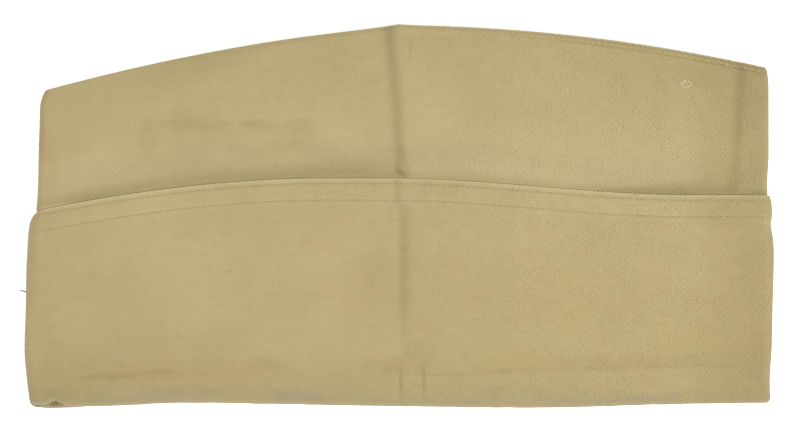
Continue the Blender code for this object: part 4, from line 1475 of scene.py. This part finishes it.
class LooseThreadsOperator(bpy.types.Operator):
    """Adds the pulled threads round the pin hole and the loose thread at the back fold"""
    bl_idname = "garrison_cap.loose_threads"
    bl_label = "Loose threads"

    def execute(self, context):
        c = colours()
        points = GRIDS["crown", UPPER][0]
        draw = np.random.default_rng(8)
        batch = bmesh.new()
        for k in range(PIN_THREADS):
            angle = 2 * math.pi * k / PIN_THREADS + draw.uniform(-0.2, 0.2)
            x = PIN_HOLE[0] + PIN_RING[0] * math.cos(angle)
            y = PIN_HOLE[1] + PIN_RING[1] * math.sin(angle)
            reach, heading = draw.uniform(0.0005, 0.0010), angle + draw.uniform(0.6, 2.2)
            step_x, step_y = reach * math.cos(heading), reach * math.sin(heading)
            route = []
            for share in np.linspace(-1, 1, 7):
                at_x, at_y = x + share * step_x, y + share * step_y
                over = surface_height(points, at_x, at_y) + CROWN_SHEET / 2
                route.append((at_x, at_y, over - 0.00012 + 0.00026 * (1 - share * share)))
            thread_strand(batch, route, BARE_THREAD_WIDTH)
        bmesh.ops.recalc_face_normals(batch, faces=batch.faces)
        stitched_piece("pin_hole_threads", batch, thread_material("bare threads", tuple(c.pale)))
        batch = bmesh.new()
        thread_strand(batch, LINT_ROUTE, LINT_WIDTH)
        thread_strand(batch, NICK_ROUTE, NICK_WIDTH)
        bmesh.ops.recalc_face_normals(batch, faces=batch.faces)
        stitched_piece("loose_thread", batch, thread_material("loose thread", tuple(c.lint)))
        return {"FINISHED"}


class StageOperator(bpy.types.Operator):
    """Sets the pale floor, the soft light and the camera above the cap"""
    bl_idname = "garrison_cap.stage"
    bl_label = "Stage"

    def execute(self, context):
        settings = context.scene.cap_stage
        floor_mesh = bmesh.new()
        bmesh.ops.create_grid(floor_mesh, x_segments=1, y_segments=1, size=FLOOR_REACH)
        mesh = bpy.data.meshes.new("floor")
        floor_mesh.to_mesh(mesh)
        floor_mesh.free()
        floor = bpy.data.objects.new("floor", mesh)
        context.scene.collection.objects.link(floor)
        material = bpy.data.materials.new("floor")
        material.use_nodes = True
        shader = material.node_tree.nodes["Principled BSDF"]
        shader.inputs["Base Color"].default_value = rgba(settings.floor)
        shader.inputs["Roughness"].default_value = 0.95
        shader.inputs["Specular IOR Level"].default_value = 0.0
        shader.inputs["Emission Color"].default_value = (1, 1, 1, 1)
        shader.inputs["Emission Strength"].default_value = settings.glow
        mesh.materials.append(material)
        world = bpy.data.worlds.new("studio")
        context.scene.world = world
        world.use_nodes = True
        tree = world.node_tree
        tree.nodes.clear()
        lit = add_node(tree, "ShaderNodeBackground", {"Color": (1, 1, 1, 1), "Strength": settings.surround})
        seen = add_node(tree, "ShaderNodeBackground", {"Color": (1, 1, 1, 1), "Strength": 1.0})
        path = add_node(tree, "ShaderNodeLightPath")
        mix = add_node(
            tree, "ShaderNodeMixShader",
            {0: path.outputs["Is Camera Ray"], 1: lit.outputs[0], 2: seen.outputs[0]})
        out = add_node(tree, "ShaderNodeOutputWorld")
        tree.links.new(mix.outputs[0], out.inputs["Surface"])
        key = bpy.data.lights.new("key", "AREA")
        key.shape = "DISK"
        key.size = KEY_SIZE
        key.energy = settings.key
        lamp = bpy.data.objects.new("key", key)
        lamp.location = KEY_PLACE
        lamp.rotation_euler = (-Vector(lamp.location)).to_track_quat("-Z", "Y").to_euler()
        context.scene.collection.objects.link(lamp)
        camera = bpy.data.cameras.new("camera")
        camera.lens = settings.lens
        camera.sensor_width = 36.0
        x, y, z = VIEW_CENTRE
        eye = bpy.data.objects.new("camera", camera)
        eye.location = (x, y, z + VIEW_WIDTH * camera.lens / camera.sensor_width)
        context.scene.collection.objects.link(eye)
        context.scene.camera = eye
        context.scene.view_settings.view_transform = "Standard"
        return {"FINISHED"}


class CapPanel(bpy.types.Panel):
    """Lists the cap's sizes, colours and steps"""
    bl_idname = "VIEW3D_PT_garrison_cap"
    bl_label = "Garrison cap"
    bl_space_type = "VIEW_3D"
    bl_region_type = "UI"
    bl_category = "Garrison cap"

    def draw(self, context):
        layout = self.layout
        for group in (context.scene.cap_sizes, context.scene.cap_colours, context.scene.cap_stage):
            box = layout.box()
            for name in group.bl_rna.properties.keys():
                if name not in ("rna_type", "name"):
                    box.prop(group, name)
        for operator in OPERATORS:
            layout.operator(operator.bl_idname)


OPERATORS = (
    CrownSidesOperator, CurtainOperator, GussetOperator, StitchingOperator, LooseThreadsOperator,
    StageOperator)
CLASSES = (CapSizes, CapColours, StageSettings, *OPERATORS, CapPanel)


def register():
    for each in CLASSES:
        bpy.utils.register_class(each)
    bpy.types.Scene.cap_sizes = bpy.props.PointerProperty(type=CapSizes)
    bpy.types.Scene.cap_colours = bpy.props.PointerProperty(type=CapColours)
    bpy.types.Scene.cap_stage = bpy.props.PointerProperty(type=StageSettings)


def unregister():
    del bpy.types.Scene.cap_stage
    del bpy.types.Scene.cap_colours
    del bpy.types.Scene.cap_sizes
    for each in reversed(CLASSES):
        bpy.utils.unregister_class(each)


def main():
    register()
    build_twill_group()
    build_spot_group()
    build_row_group()
    bpy.ops.garrison_cap.crown_sides()
    bpy.ops.garrison_cap.curtain()
    bpy.ops.garrison_cap.gusset()
    bpy.ops.garrison_cap.stitching()
    bpy.ops.garrison_cap.loose_threads()
    bpy.ops.garrison_cap.stage()


if __name__ == "__main__":
    main()
